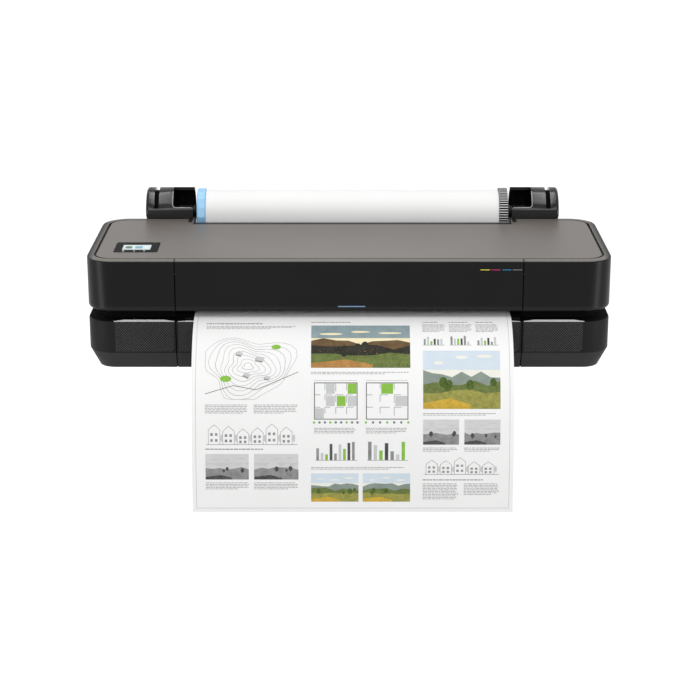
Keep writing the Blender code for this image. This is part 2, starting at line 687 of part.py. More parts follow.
cut(front_rail, cylinder("ear_bore", STEEL, "X", HINGE, -rod_end - WALL, rod_end + WALL,
                         HINGE_ROD_RADIUS + FIT, 16))

main_beam = extruded("main_beam", STEEL, "X", -FRAME_INSIDE, FRAME_INSIDE, channel(
    back(BEAM_SETBACK), BEAM_DEPTH, BEAM_BOTTOM, BEAM_HEIGHT, BEAM_SHEET, "rear"))
platen_beam = extruded("platen_beam", STEEL, "X", -FRAME_INSIDE, FRAME_INSIDE, channel(
    back(PLATEN_BEAM_SETBACK), PLATEN_BEAM_DEPTH, PLATEN_BEAM_TOP - PLATEN_BEAM_HEIGHT,
    PLATEN_BEAM_HEIGHT, PLATEN_BEAM_SHEET, "down"))

frame_low = BASE_TOP + FIT
frame_outline = [
    (back(FRAME_STEP), frame_low), (back(FRAME_REAR) - FRAME_STEP, frame_low),
    (back(FRAME_REAR) - FRAME_STEP, UPPER_BOTTOM), (back(FRAME_REAR), UPPER_BOTTOM + FRAME_STEP),
    (back(FRAME_REAR), FRAME_TOP), (back(FRAME_FRONT), FRAME_TOP),
    (back(FRAME_FRONT), UPPER_BOTTOM + FRAME_STEP), (back(FRAME_STEP), UPPER_BOTTOM)]


def side_frame(name, side):
    """A sheet steel side plate with bearing holes for the rod and the feed roller."""
    near = side * (FRAME_X - FRAME_SHEET / 2)
    far = side * (FRAME_X + FRAME_SHEET / 2)
    plate = extruded(name, STEEL, "X", near, far, frame_outline)
    for centre, radius in ((ROD, ROD_RADIUS), (FEED, FEED_JOURNAL)):
        cut(plate, cylinder("frame_bore", STEEL, "X", centre, near - side * WALL, far + side * WALL,
                            radius + FIT, 20))
    return plate


side_frame_left = side_frame("side_frame_left", -1)
side_frame_right = side_frame("side_frame_right", 1)
rod_reach = FRAME_X + FRAME_SHEET / 2
guide_rod = cylinder("guide_rod", ROD_STEEL, "X", ROD, -rod_reach, rod_reach, ROD_RADIUS, 20)

# Bent tab and axle of the idler pulley, part of the right side plate
belt_y = (back(BELT_SETBACK - BELT_WIDTH / 2), back(BELT_SETBACK + BELT_WIDTH / 2))
pulley_y = (belt_y[0] - FIT, belt_y[1] + FIT)
pulley_edge = PULLEY_RADIUS + PULLEY_FLANGE
tab_y = (pulley_y[1] + FIT + TAB_SHEET / 2, pulley_y[1] + FIT + TAB_SHEET * 3 / 2)
fuse(side_frame_right, block("idler_tab_shape", STEEL, (IDLER_X - PULLEY_RADIUS, FRAME_X), tab_y,
                             (PULLEY_Z - PULLEY_RADIUS, PULLEY_Z + PULLEY_RADIUS)))
fuse(side_frame_right, cylinder("idler_axle_shape", STEEL, "Y", (IDLER_X, PULLEY_Z),
                                pulley_y[0] - PULLEY_FLANGE, tab_y[0] + TAB_SHEET / 2, AXLE_RADIUS, 16))

# Platen with feed-wise ribs, and the output guide in front of it
platen_x = (PAPER_LEFT - PLATEN_MARGIN, PAPER_RIGHT + PLATEN_MARGIN)
platen_z = (PLATEN_BEAM_TOP + FIT, PLATEN_BEAM_TOP + FIT + PLATEN_FLOOR, PAPER_LEVEL - FIT)
rib_count = int((platen_x[1] - platen_x[0] - RIB_WIDTH) // RIB_PITCH) + 1
rib_first = (platen_x[0] + platen_x[1]) / 2 - (rib_count - 1) * RIB_PITCH / 2
comb = [(platen_x[0], platen_z[0]), (platen_x[1], platen_z[0]), (platen_x[1], platen_z[1])]
for k in reversed(range(rib_count)):
    rib = rib_first + k * RIB_PITCH
    comb += [(rib + RIB_WIDTH / 2, platen_z[1]), (rib + RIB_WIDTH / 4, platen_z[2]),
             (rib - RIB_WIDTH / 4, platen_z[2]), (rib - RIB_WIDTH / 2, platen_z[1])]
comb.append((platen_x[0], platen_z[1]))
platen = extruded("platen", BLACK, "Y", back(PLATEN_SETBACK), back(PLATEN_SETBACK + PLATEN_DEPTH), comb)
output_guide = extruded("output_guide", BLACK, "X", PAPER_LEFT - GUIDE_MARGIN, PAPER_RIGHT + GUIDE_MARGIN, [
    (back(GUIDE_LIP_SETBACK), LOWER_TOP + FIT), (back(GUIDE_LIP_SETBACK), LOWER_TOP + GUIDE_NOSE),
    (back(GUIDE_REAR_SETBACK), PAPER_LEVEL - FIT), (back(GUIDE_REAR_SETBACK), PLATEN_BEAM_TOP + FIT),
    (back(GUIDE_REAR_SETBACK - GUIDE_LEG), PLATEN_BEAM_TOP + FIT),
    (back(GUIDE_REAR_SETBACK - GUIDE_LEG), LOWER_TOP + FIT)])

# Rear paper guides: the notch wall that turns the paper in, and the cover outside the turn
inner = TURN_RADIUS - TURN_GAP
meet = math.degrees(math.acos((NOTCH_Y - TURN[0]) / inner))
meet_inside = math.degrees(math.acos((NOTCH_Y - WALL - TURN[0]) / (inner - WALL)))
edge = UPPER_EDGE_RADIUS
rear_inner_guide = extruded("rear_inner_guide", CHARCOAL, "X", NOTCH_LEFT + SEAM, NOTCH_RIGHT - SEAM, (
    arc(NOTCH_Y - edge, TOP - edge, edge, 90, 0, 4)
    + arc(*TURN, inner, -meet, -80, 8) + arc(*TURN, inner - WALL, -80, -meet_inside, 8)
    + [(NOTCH_Y - WALL, SEAT_Z - WALL), (NOTCH_Y - SEAT_INSET, SEAT_Z - WALL),
       (NOTCH_Y - SEAT_INSET, SEAT_Z), (NOTCH_Y - RIM_WIDTH, SEAT_Z), (NOTCH_Y - RIM_WIDTH, TOP)]))
outer = TURN_RADIUS + TURN_GAP
mouth = math.degrees(math.asin((TURN[1] - REAR_COVER_TOP) / outer))
behind = REAR + REAR_COVER_STEP
brow = math.degrees(math.asin((TURN[1] - REAR_COVER_TOP + WALL) / (outer + WALL)))
brow_z = arc(*TURN, outer + WALL, -brow, -78, 8)[0][1]
rear_cover = extruded("rear_cover", CHARCOAL, "X", NOTCH_LEFT + SEAM, NOTCH_RIGHT - SEAM, (
    arc(*TURN, outer, -mouth, -78, 9) + arc(*TURN, outer + WALL, -78, -brow, 8)
    + [(behind - WALL, brow_z), (behind - WALL, LOWER_TOP + FIT + WALL),
       (REAR - NECK_INSET, LOWER_TOP + FIT + WALL), (REAR - NECK_INSET, LOWER_TOP + FIT),
       (behind, LOWER_TOP + FIT), (behind, REAR_COVER_TOP)]))


# Roll supports: a drum on a foot, with an open cradle on the inner side

def support_outline(inset):
    """The drum and its foot seen along X."""
    radius = SUPPORT_RADIUS - inset
    front = REAR - SUPPORT_OVERHANG + inset
    lean = 180 - math.degrees(math.acos((ROLL[0] - front) / radius))
    low = SUPPORT_FOOT_Z + inset
    return (arc(*ROLL, radius, -40, lean, 18)
            + [(front, TOP + SUPPORT_CLEAR + inset), (REAR + FIT + inset, TOP + SUPPORT_CLEAR + inset),
               (REAR + FIT + inset, low), (REAR + SUPPORT_FOOT_DEPTH - inset, low)])


def roll_support(name, side, inner_x):
    def across(offset):
        return inner_x + side * offset

    insets = [(0.0, 0.0)] + [
        (SUPPORT_WIDTH - SUPPORT_ROUND + u, SUPPORT_ROUND + v)
        for u, v in arc(0.0, 0.0, SUPPORT_ROUND, -90, 0, 4)]
    drum = lofted(name, CHARCOAL, [[(across(u), y, z) for y, z in support_outline(inset)]
                                   for u, inset in insets])
    bore = SUPPORT_RADIUS - SUPPORT_WALL
    wall_y = REAR + FIT + SUPPORT_WALL
    half = math.degrees(math.acos((ROLL[0] - wall_y) / bore))
    cavity = extruded("cradle_shape", BLACK, "X", across(-WALL), across(CRADLE_WIDTH),
                      arc(*ROLL, bore, -180 + half, 180 - half, 16))
    cut(drum, cavity)
    cut(drum, block("cradle_opening", BLACK, sorted((across(-WALL), across(CRADLE_WIDTH))),
                    (REAR - SUPPORT_RADIUS, ROLL[0] + CRADLE_BACK),
                    (ROLL[1] + CRADLE_RISE, ROLL[1] + 2 * SUPPORT_RADIUS)))
    cut(drum, block("drum_slot", BLACK, sorted((across(SLOT_START), across(SLOT_START + SLOT_WIDTH))),
                    (REAR - SUPPORT_RADIUS, ROLL[0] + 2 * SUPPORT_RADIUS),
                    (ROLL[1] + SLOT_FLOOR, ROLL[1] + 2 * SUPPORT_RADIUS)))
    saddle = SPINDLE_RADIUS + FIT
    top = ROLL[1] + SEAT_RIB_RISE
    reach = bore + SUPPORT_WALL / 4
    rise = math.degrees(math.asin(SEAT_RIB_RISE / reach))
    rib = (arc(*ROLL, reach, -180 + half, rise, 14)
           + [(ROLL[0] + saddle, top)] + arc(*ROLL, saddle, 0, -180, 10) + [(ROLL[0] - saddle, top)]
           + [(wall_y - SUPPORT_WALL / 4, top)])
    rib[0] = (wall_y - SUPPORT_WALL / 4, rib[0][1])
    for start in (SEAT_RIB_INSET, CRADLE_WIDTH - SEAT_RIB_INSET - SEAT_RIB_WIDTH):
        fuse(drum, extruded("saddle_rib_shape", CHARCOAL, "X", across(start),
                            across(start + SEAT_RIB_WIDTH), rib))
    return drum


roll_support_left = roll_support("roll_support_left", -1, SUPPORT_LEFT)
roll_support_right = roll_support("roll_support_right", 1, SUPPORT_RIGHT)

# Spindle, its end bushes, flanges, core and paper roll
step = SEAT_RIB_INSET / 2
shaft_ends = (SUPPORT_LEFT - step - JOURNAL_LENGTH, SUPPORT_RIGHT + step + JOURNAL_LENGTH)
spindle_shaft = turned("spindle_shaft", BLACK, "X", ROLL, [
    (shaft_ends[0], 0.0), (shaft_ends[0], JOURNAL_RADIUS), (SUPPORT_LEFT - step, JOURNAL_RADIUS),
    (SUPPORT_LEFT - step, SPINDLE_RADIUS), (SUPPORT_RIGHT + step, SPINDLE_RADIUS),
    (SUPPORT_RIGHT + step, JOURNAL_RADIUS), (shaft_ends[1], JOURNAL_RADIUS), (shaft_ends[1], 0.0)], 20)


def ring(name, mat, start, end, inside, outside, steps):
    """A plain tube on the spindle."""
    return turned(name, mat, "X", ROLL, [(start, inside), (start, outside), (end, outside),
                                         (end, inside)], steps, hollow=True)


bush_gap = step + FIT
spindle_bush_left = ring("spindle_bush_left", GREY, SUPPORT_LEFT - bush_gap - BUSH_LENGTH,
                         SUPPORT_LEFT - bush_gap, JOURNAL_RADIUS + FIT, SPINDLE_RADIUS, 20)
spindle_bush_right = ring("spindle_bush_right", GREY, SUPPORT_RIGHT + bush_gap,
                          SUPPORT_RIGHT + bush_gap + BUSH_LENGTH, JOURNAL_RADIUS + FIT,
                          SPINDLE_RADIUS, 20)
core_bore = CORE_RADIUS - CORE_WALL
roll_core = ring("roll_core", CARD, PAPER_LEFT, PAPER_RIGHT, core_bore, CORE_RADIUS, 24)
paper_roll = ring("paper_roll", PAPER, PAPER_LEFT, PAPER_RIGHT, CORE_RADIUS + FIT, ROLL_RADIUS, 40)
hub = core_bore - FIT
flange_bore = (SPINDLE_RADIUS + FIT) / math.cos(math.pi / FLANGE_SIDES)
dish = (FLANGE_RADIUS + hub) / 2
bevel = FLANGE_DISH / 2
blue_end = PAPER_LEFT - FIT
blue_start = blue_end - FLANGE_WIDTH
spindle_flange_blue = turned("spindle_flange_blue", BLUE, "X", ROLL, [
    (blue_start, flange_bore), (blue_start, hub - FLANGE_DISH), (blue_start + FLANGE_DISH, hub),
    (blue_start + FLANGE_DISH, dish), (blue_start, dish + FLANGE_DISH),
    (blue_start, FLANGE_RADIUS - bevel), (blue_start + bevel, FLANGE_RADIUS),
    (blue_end - bevel, FLANGE_RADIUS), (blue_end, FLANGE_RADIUS - bevel), (blue_end, hub),
    (blue_end + HUB_LENGTH, hub - bevel), (blue_end + HUB_LENGTH, flange_bore)],
    FLANGE_SIDES, hollow=True)
ribbed_start = PAPER_RIGHT + FIT
rib_angle = 360 / FLANGE_RIBS
rib_outline = []
for k in range(FLANGE_RIBS):
    for share, sunk in ((-0.42, RIB_DEPTH), (-0.22, 0.0), (0.22, 0.0), (0.42, RIB_DEPTH)):
        turn = (k + share) * rib_angle
        rib_outline += arc(*ROLL, FLANGE_RADIUS - sunk, turn, turn, 1)[:1]
spindle_flange_ribbed = extruded("spindle_flange_ribbed", BLACK, "X", ribbed_start,
                                 ribbed_start + FLANGE_WIDTH, rib_outline)
fuse(spindle_flange_ribbed, cylinder("ribbed_hub_shape", BLACK, "X", ROLL, ribbed_start - HUB_LENGTH,
                                     ribbed_start + FLANGE_WIDTH / 2, hub, 20))
cut(spindle_flange_ribbed, cylinder("ribbed_bore", BLACK, "X", ROLL, ribbed_start - HUB_LENGTH - WALL,
                                    ribbed_start + FLANGE_WIDTH + WALL, flange_bore, 16))
cut(spindle_flange_ribbed, ring("ribbed_dish", BLACK, ribbed_start + FLANGE_WIDTH - FLANGE_DISH,
                                ribbed_start + FLANGE_WIDTH + WALL, hub, dish + FLANGE_DISH, 24))
lift = carried("spindle_lift_axis", (PAPER_OFFSET, *ROLL), spindle_bush_left, spindle_bush_right)
spin = carried("roll_spin_axis", (PAPER_OFFSET, *ROLL), spindle_shaft, spindle_flange_ribbed,
               roll_core, paper_roll)
stop = carried("blue_flange_axis", (blue_end, *ROLL), spindle_flange_blue)

# Paper sheet: off the roll, round the turn, over the platen and hanging out of the front


def sheet_line():
    """Points and headings down the sheet's middle, from the roll to its free edge."""
    line = [((SHEET_Y, ROLL[1]), -90.0)]
    line += [(point, angle - 90.0) for point, angle in
             zip(arc(*TURN, TURN_RADIUS, 0, -90, 12), [-7.5 * k for k in range(13)])]
    y, z = back(EXIT_SETBACK), TURN[1] - TURN_RADIUS
    length = SHEET_HANG / SHEET_STEPS
    fine = 40
    line.append(((y, z), 180.0))
    for k in range(SHEET_STEPS):
        for part in range(fine):
            along = (k + (part + 0.5) / fine) * length
            droop = math.pi / 2 * (1.0 - math.exp(-along / SHEET_BEND))
            y -= math.cos(droop) * length / fine
            z -= math.sin(droop) * length / fine
        end = math.pi / 2 * (1.0 - math.exp(-(k + 1) * length / SHEET_BEND))
        line.append(((y, z), 180.0 + math.degrees(end)))
    return line


sheet_sides = ([], [])
for (y, z), heading in sheet_line():
    across = math.radians(heading + 90)
    for side, points in zip((-0.5, 0.5), sheet_sides):
        points.append((y + side * SHEET_THICKNESS * math.cos(across),
                       z + side * SHEET_THICKNESS * math.sin(across)))
paper_sheet = extruded("paper_sheet", PAPER, "X", PAPER_LEFT, PAPER_RIGHT,
                       sheet_sides[0] + sheet_sides[1][::-1])

# Carriage with its cartridge bays and belt clamp, the printhead and four cartridges
carriage_x = (CARRIAGE_X - CARRIAGE_WIDTH / 2, CARRIAGE_X + CARRIAGE_WIDTH / 2)
carriage_y = (back(CARRIAGE_SETBACK), back(CARRIAGE_SETBACK + CARRIAGE_DEPTH))
carriage = extruded("carriage", BLACK, "X", carriage_x[0], carriage_x[1], [
    (carriage_y[0], CARRIAGE_BOTTOM + CARRIAGE_BEVEL), (carriage_y[0] + CARRIAGE_BEVEL, CARRIAGE_BOTTOM),
    (carriage_y[1], CARRIAGE_BOTTOM), (carriage_y[1], CARRIAGE_TOP - CARRIAGE_BEVEL),
    (carriage_y[1] - CARRIAGE_BEVEL, CARRIAGE_TOP), (carriage_y[0], CARRIAGE_TOP)])
belt_low = PULLEY_Z - PULLEY_RADIUS - FIT - BELT_THICKNESS
clamp_z = (belt_low - CLAMP_PLAY - CLAMP_WALL, belt_low + BELT_THICKNESS + CLAMP_PLAY + CLAMP_WALL)
fuse(carriage, block("clamp_shape", BLACK, (CARRIAGE_X - CLAMP_WIDTH / 2, CARRIAGE_X + CLAMP_WIDTH / 2),
                     (carriage_y[1] - WALL, belt_y[1]), clamp_z))
cut(carriage, block("clamp_slot", BLACK, (CARRIAGE_X - CLAMP_WIDTH, CARRIAGE_X + CLAMP_WIDTH),
                    (belt_y[0] - CLAMP_PLAY, belt_y[1] + WALL),
                    (clamp_z[0] + CLAMP_WALL, clamp_z[1] - CLAMP_WALL)))
cut(carriage, cylinder("rod_bore", BLACK, "X", ROD, carriage_x[0] - WALL, carriage_x[1] + WALL,
                       ROD_RADIUS + ROD_PLAY, 16))
bay_z = (CARRIAGE_TOP - CARTRIDGE_ROOF - CARTRIDGE_HEIGHT, CARRIAGE_TOP - CARTRIDGE_ROOF)
cartridge_y = (carriage_y[0] - CARTRIDGE_PROUD, carriage_y[0] - CARTRIDGE_PROUD + CARTRIDGE_DEPTH)
carriage_pieces = [carriage]
inks = (("yellow", YELLOW), ("magenta", MAGENTA), ("cyan", CYAN), ("black", GREY))
for k, (ink, mat) in enumerate(inks):
    x = CARRIAGE_X + (k - 1.5) * CARTRIDGE_PITCH
    half = CARTRIDGE_WIDTH / 2
    cut(carriage, block("bay_shape", BLACK, (x - half - FIT, x + half + FIT),
                        (carriage_y[0] - WALL, cartridge_y[1] + FIT), (bay_z[0] - FIT, bay_z[1] + FIT)))
    cartridge = extruded("ink_cartridge_" + ink, mat, "X", x - half, x + half, [
        (cartridge_y[0], bay_z[0] + CARTRIDGE_GRIP), (cartridge_y[0] + CARTRIDGE_GRIP, bay_z[0]),
        (cartridge_y[1], bay_z[0]), (cartridge_y[1], bay_z[1]),
        (cartridge_y[0] + CARTRIDGE_GRIP, bay_z[1]),
        (cartridge_y[0] + CARTRIDGE_GRIP, bay_z[1] - CARTRIDGE_GRIP),
        (cartridge_y[0], bay_z[1] - 2 * CARTRIDGE_GRIP)])
    carried("cartridge_axis_" + ink, (x, cartridge_y[0], (bay_z[0] + bay_z[1]) / 2), cartridge)
head_y = (back(HEAD_SETBACK), back(HEAD_SETBACK + HEAD_DEPTH))
head_half = HEAD_WIDTH / 2
printhead = lofted("printhead", GREY, [
    [(x, y, z) for x, y in rectangle((CARRIAGE_X - head_half + taper, CARRIAGE_X + head_half - taper),
                                     (head_y[0] + taper, head_y[1] - taper))]
    for z, taper in ((HEAD_BOTTOM, HEAD_TAPER), (HEAD_BOTTOM + HEAD_TAPER, HEAD_TAPER / 2),
                     (CARRIAGE_BOTTOM - FIT, 0.0))])
carried("carriage_axis", (CARRIAGE_X, *ROD), carriage, printhead)

# Flat cable: along the panel's underside, round a loop and back to the carriage's top
cable_high = TOP - PANEL_THICKNESS - FIT - CABLE_THICKNESS / 2
cable_low = CARRIAGE_TOP + FIT + CABLE_THICKNESS / 2
loop_radius = (cable_high - cable_low) / 2
thin = CABLE_THICKNESS / 2
loop_outside = arc(CABLE_LOOP_X, cable_low + loop_radius, loop_radius + thin, 90, -90, 10)
loop_inside = arc(CABLE_LOOP_X, cable_low + loop_radius, loop_radius - thin, -90, 90, 10)
flex_cable = extruded("flex_cable", GREY, "Y", back(CABLE_SETBACK), back(CABLE_SETBACK) + CABLE_WIDTH, (
    [(-FRAME_INSIDE, cable_high + thin)] + loop_outside
    + [(CARRIAGE_X, cable_low - thin), (CARRIAGE_X, cable_low + thin)] + loop_inside
    + [(-FRAME_INSIDE, cable_high - thin)]))

# Belt drive


def belt_loop(radius):
    return [(x, z) for x, z in arc(DRIVE_X, PULLEY_Z, radius, 90, 270, 10)
            + arc(IDLER_X, PULLEY_Z, radius, -90, 90, 10)]


belt_rings = []
for radius, y in ((PULLEY_RADIUS + FIT, belt_y[0]), (PULLEY_RADIUS + FIT + BELT_THICKNESS, belt_y[0]),
                  (PULLEY_RADIUS + FIT + BELT_THICKNESS, belt_y[1]), (PULLEY_RADIUS + FIT, belt_y[1])):
    belt_rings.append([(x, y, z) for x, z in belt_loop(radius)])
drive_belt = lofted("drive_belt", RUBBER, belt_rings, closed=True)
lip = PULLEY_FLANGE / 2
drum_profile = [(pulley_y[0] - lip, pulley_edge), (pulley_y[0], pulley_edge), (pulley_y[0], PULLEY_RADIUS),
                (pulley_y[1], PULLEY_RADIUS), (pulley_y[1], pulley_edge), (pulley_y[1] + lip / 2, pulley_edge)]
idler_pulley = turned("idler_pulley", GREY, "Y", (IDLER_X, PULLEY_Z), (
    [(pulley_y[0] - lip, AXLE_RADIUS + FIT)] + drum_profile + [(pulley_y[1] + lip / 2, AXLE_RADIUS + FIT)]),
    16, hollow=True)
motor_face = pulley_y[0] - lip - 2 * FIT
shaft_tip = motor_face - SHAFT_DEPTH
drive_pulley = turned("drive_pulley", GREY, "Y", (DRIVE_X, PULLEY_Z), (
    [(shaft_tip, 0.0), (shaft_tip, SHAFT_RADIUS), (pulley_y[0] - lip, SHAFT_RADIUS)] + drum_profile
    + [(pulley_y[1] + lip / 2, 0.0)]), 16)
socket_depth = SHAFT_DEPTH + FIT
carriage_motor = turned("carriage_motor", STEEL, "Y", (DRIVE_X, PULLEY_Z), [
    (motor_face - MOTOR_LENGTH, 0.0), (motor_face - MOTOR_LENGTH, MOTOR_RADIUS - WALL),
    (motor_face - MOTOR_LENGTH + WALL, MOTOR_RADIUS), (motor_face - MOTOR_PLATE / 2, MOTOR_RADIUS),
    (motor_face - MOTOR_PLATE / 2, SHAFT_RADIUS + FIT),
    (motor_face - socket_depth, SHAFT_RADIUS + FIT), (motor_face - socket_depth, 0.0)], 20)
plate = extruded("motor_plate_shape", STEEL, "Y", motor_face - MOTOR_PLATE, motor_face, rectangle(
    (-FRAME_INSIDE, DRIVE_X + MOTOR_PLATE_SIDE / 2),
    (PULLEY_Z - MOTOR_PLATE_SIDE / 2, PULLEY_Z + MOTOR_PLATE_SIDE / 2), WALL))
fuse(carriage_motor, plate)
cut(carriage_motor, cylinder("motor_bore", STEEL, "Y", (DRIVE_X, PULLEY_Z), motor_face - socket_depth,
                             motor_face + WALL, SHAFT_RADIUS + FIT, 20))
carried("drive_pulley_axis", (DRIVE_X, back(BELT_SETBACK), PULLEY_Z), drive_pulley)
carried("idler_pulley_axis", (IDLER_X, back(BELT_SETBACK), PULLEY_Z), idler_pulley)

# Feed roller, its gear and pinion, motor, pinch rollers


def gear_outline(centre, teeth, tooth_at):
    """Involute teeth of 20 degrees pressure angle, with a tooth centred at an angle in degrees."""
    pitch = teeth * GEAR_MODULE / 2
    base = pitch * math.cos(math.radians(20))
    tip = pitch + 0.9 * GEAR_MODULE
    root = pitch - 1.25 * GEAR_MODULE

    def half_angle(radius):
        slope = math.acos(min(1.0, base / radius))
        at_pitch = math.radians(20)
        return ((math.pi * GEAR_MODULE / 2 - GEAR_BACKLASH) / (2 * pitch)
                + math.tan(at_pitch) - at_pitch - math.tan(slope) + slope)

    flank = [root, pitch, tip] if root > base else [root, base, pitch, tip]
    points = []
    for k in range(teeth):
        middle = math.radians(tooth_at) + math.tau * k / teeth
        for radius in flank:
            points.append((radius, middle - half_angle(max(radius, base))))
        for radius in reversed(flank):
            points.append((radius, middle + half_angle(max(radius, base))))
    return [(centre[0] + r * math.cos(a), centre[1] + r * math.sin(a)) for r, a in points]


gear_x = (-FRAME_INSIDE + 2 * FIT, -FRAME_INSIDE + 2 * FIT + GEAR_WIDTH)
roller_x = (PAPER_LEFT - FEED_MARGIN, PAPER_RIGHT + FEED_MARGIN)
feed_roller = turned("feed_roller", RUBBER, "X", FEED, [
    (-rod_reach, 0.0), (-rod_reach, FEED_JOURNAL), (roller_x[0], FEED_JOURNAL),
    (roller_x[0], FEED_RADIUS), (roller_x[1], FEED_RADIUS), (roller_x[1], FEED_JOURNAL),
    (rod_reach, FEED_JOURNAL), (rod_reach, 0.0)], 24)
feed_gear = extruded("feed_gear", GREY, "X", gear_x[0], gear_x[1],
                     gear_outline(FEED, GEAR_TEETH, PINION_ANGLE))
cut(feed_gear, cylinder("gear_bore", GREY, "X", FEED, gear_x[0] - WALL, gear_x[1] + WALL,
                        FEED_JOURNAL + FIT, 16))
spread = (GEAR_TEETH + PINION_TEETH) * GEAR_MODULE / 2 + GEAR_SPREAD
PINION = arc(*FEED, spread, PINION_ANGLE, PINION_ANGLE, 1)[0]
feed_pinion = extruded("feed_pinion", GREY, "X", gear_x[0], gear_x[1],
                       gear_outline(PINION, PINION_TEETH, PINION_ANGLE + 180 + 180 / PINION_TEETH))
feed_face = gear_x[1] + FIT
fuse(feed_pinion, cylinder("pinion_shaft_shape", GREY, "X", PINION, gear_x[0] + GEAR_WIDTH / 2,
                           feed_face + SHAFT_DEPTH, SHAFT_RADIUS, 16))
feed_motor = turned("feed_motor", STEEL, "X", PINION, [
    (feed_face + MOTOR_LENGTH, 0.0), (feed_face + MOTOR_LENGTH, MOTOR_RADIUS - WALL),
    (feed_face + MOTOR_LENGTH - WALL, MOTOR_RADIUS), (feed_face, MOTOR_RADIUS),
    (feed_face, SHAFT_RADIUS + FIT), (feed_face + socket_depth, SHAFT_RADIUS + FIT),
    (feed_face + socket_depth, 0.0)], 20)
fuse(feed_motor, block("motor_foot_shape", STEEL, (feed_face + WALL, feed_face + MOTOR_LENGTH - 2 * WALL),
                       (PINION[0] - MOTOR_FOOT / 2, PINION[0] + MOTOR_FOOT / 2),
                       (BASE_TOP + FIT, PINION[1] - MOTOR_RADIUS / 2)))
carried("feed_roller_axis", (0.0, *FEED), feed_roller, feed_gear)
carried("feed_pinion_axis", (gear_x[0], *PINION), feed_pinion)

pinch_pitch = (PAPER_WIDTH - PINCH_LENGTH) / (PINCH_COUNT - 1)
pinch_first = PAPER_LEFT + PINCH_LENGTH / 2
pinch_profile = [(PAPER_LEFT - 2 * PINCH_ARM, 0.0), (PAPER_LEFT - 2 * PINCH_ARM, PINCH_AXLE)]
for k in range(PINCH_COUNT):
    x0 = pinch_first + k * pinch_pitch - PINCH_LENGTH / 2
    pinch_profile += [(x0, PINCH_AXLE), (x0, PINCH_RADIUS), (x0 + PINCH_LENGTH, PINCH_RADIUS),
                      (x0 + PINCH_LENGTH, PINCH_AXLE)]
pinch_profile += [(PAPER_RIGHT + 2 * PINCH_ARM, PINCH_AXLE), (PAPER_RIGHT + 2 * PINCH_ARM, 0.0)]
pinch_rollers = turned("pinch_rollers", RUBBER, "X", PINCH, pinch_profile, 12)
plate_z = (BEAM_BOTTOM - FIT - PINCH_PLATE, BEAM_BOTTOM - FIT)
pinch_carrier = block("pinch_carrier", BLACK, (PAPER_LEFT - 2 * PINCH_ARM, PAPER_RIGHT + 2 * PINCH_ARM),
                      (back(BEAM_SETBACK) - WALL, back(BEAM_SETBACK + BEAM_DEPTH)), plate_z)
eye = PINCH_RADIUS - WALL / 3
arm = arc(*PINCH, eye, 180, 360, 6) + [
    (back(BEAM_SETBACK) + 4 * WALL, plate_z[0] + PINCH_PLATE / 2),
    (back(BEAM_SETBACK) - WALL / 2, plate_z[0] + PINCH_PLATE / 2)]
arm_places = [PAPER_LEFT - PINCH_ARM] + [
    pinch_first + (k + 0.5) * pinch_pitch for k in range(PINCH_COUNT - 1)] + [PAPER_RIGHT + PINCH_ARM]
for x in arm_places:
    fuse(pinch_carrier, extruded("pinch_arm_shape", BLACK, "X", x - PINCH_ARM / 2, x + PINCH_ARM / 2, arm))
cut(pinch_carrier, cylinder("pinch_bore", BLACK, "X", PINCH, PAPER_LEFT - 4 * PINCH_ARM,
                            PAPER_RIGHT + 4 * PINCH_ARM, PINCH_AXLE + FIT, 10))
carried("pinch_axis", (0.0, *PINCH), pinch_rollers)

# Service station with its capping trough, at the parking end of the platen beam
station_x = (platen_x[1] + STATION_CLEAR, FRAME_X - STATION_INSET)
station_y = (back(STATION_SETBACK), back(STATION_SETBACK + STATION_DEPTH))
station_top = HEAD_BOTTOM - STATION_GAP
service_station = block("service_station", GREY, station_x, station_y, (PLATEN_BEAM_TOP + FIT, station_top))
half = (station_x[1] - station_x[0] - 3 * STATION_WALL) / 2
for k in range(2):
    x0 = station_x[0] + STATION_WALL + k * (half + STATION_WALL)
    cut(service_station, block("cap_trough", GREY, (x0, x0 + half),
                               (station_y[0] + STATION_WALL, station_y[1] - STATION_WALL),
                               (station_top - CAP_DEPTH, station_top + CAP_DEPTH)))

# Electronics and the rear sockets
board_near = -FRAME_X - FRAME_SHEET / 2 - FIT
board_x = (board_near - BOARD_STANDOFF - BOARD_THICKNESS, board_near - BOARD_STANDOFF)
board_y = (back(BOARD_SETBACK), back(BOARD_SETBACK + BOARD_DEPTH))
board_z = (BOARD_BOTTOM, BOARD_BOTTOM + BOARD_HEIGHT)
main_board = block("main_board", BOARD, board_x, board_y, board_z)
for y in (board_y[0] + BOARD_STANDOFF, board_y[1] - BOARD_STANDOFF):
    for z in (board_z[0] + BOARD_STANDOFF, board_z[1] - BOARD_STANDOFF):
        fuse(main_board, cylinder("standoff_shape", BOARD, "X", (y, z), board_x[0] + BOARD_THICKNESS / 2,
                                  board_near, BOARD_STANDOFF / 2, 8))
chip = BOARD_HEIGHT / 3
for share in (0.25, 0.6):
    middle = board_y[0] + BOARD_DEPTH * share
    fuse(main_board, block("chip_shape", BOARD, (board_x[0] - BOARD_THICKNESS, board_x[1] - BOARD_THICKNESS / 2),
                           (middle - chip / 2, middle + chip / 2),
                           (board_z[0] + chip, board_z[1] - chip)))
supply_x = (SUPPLY_X - SUPPLY_WIDTH / 2, SUPPLY_X + SUPPLY_WIDTH / 2)
supply_y = (back(SUPPLY_SETBACK), back(SUPPLY_SETBACK + SUPPLY_DEPTH))
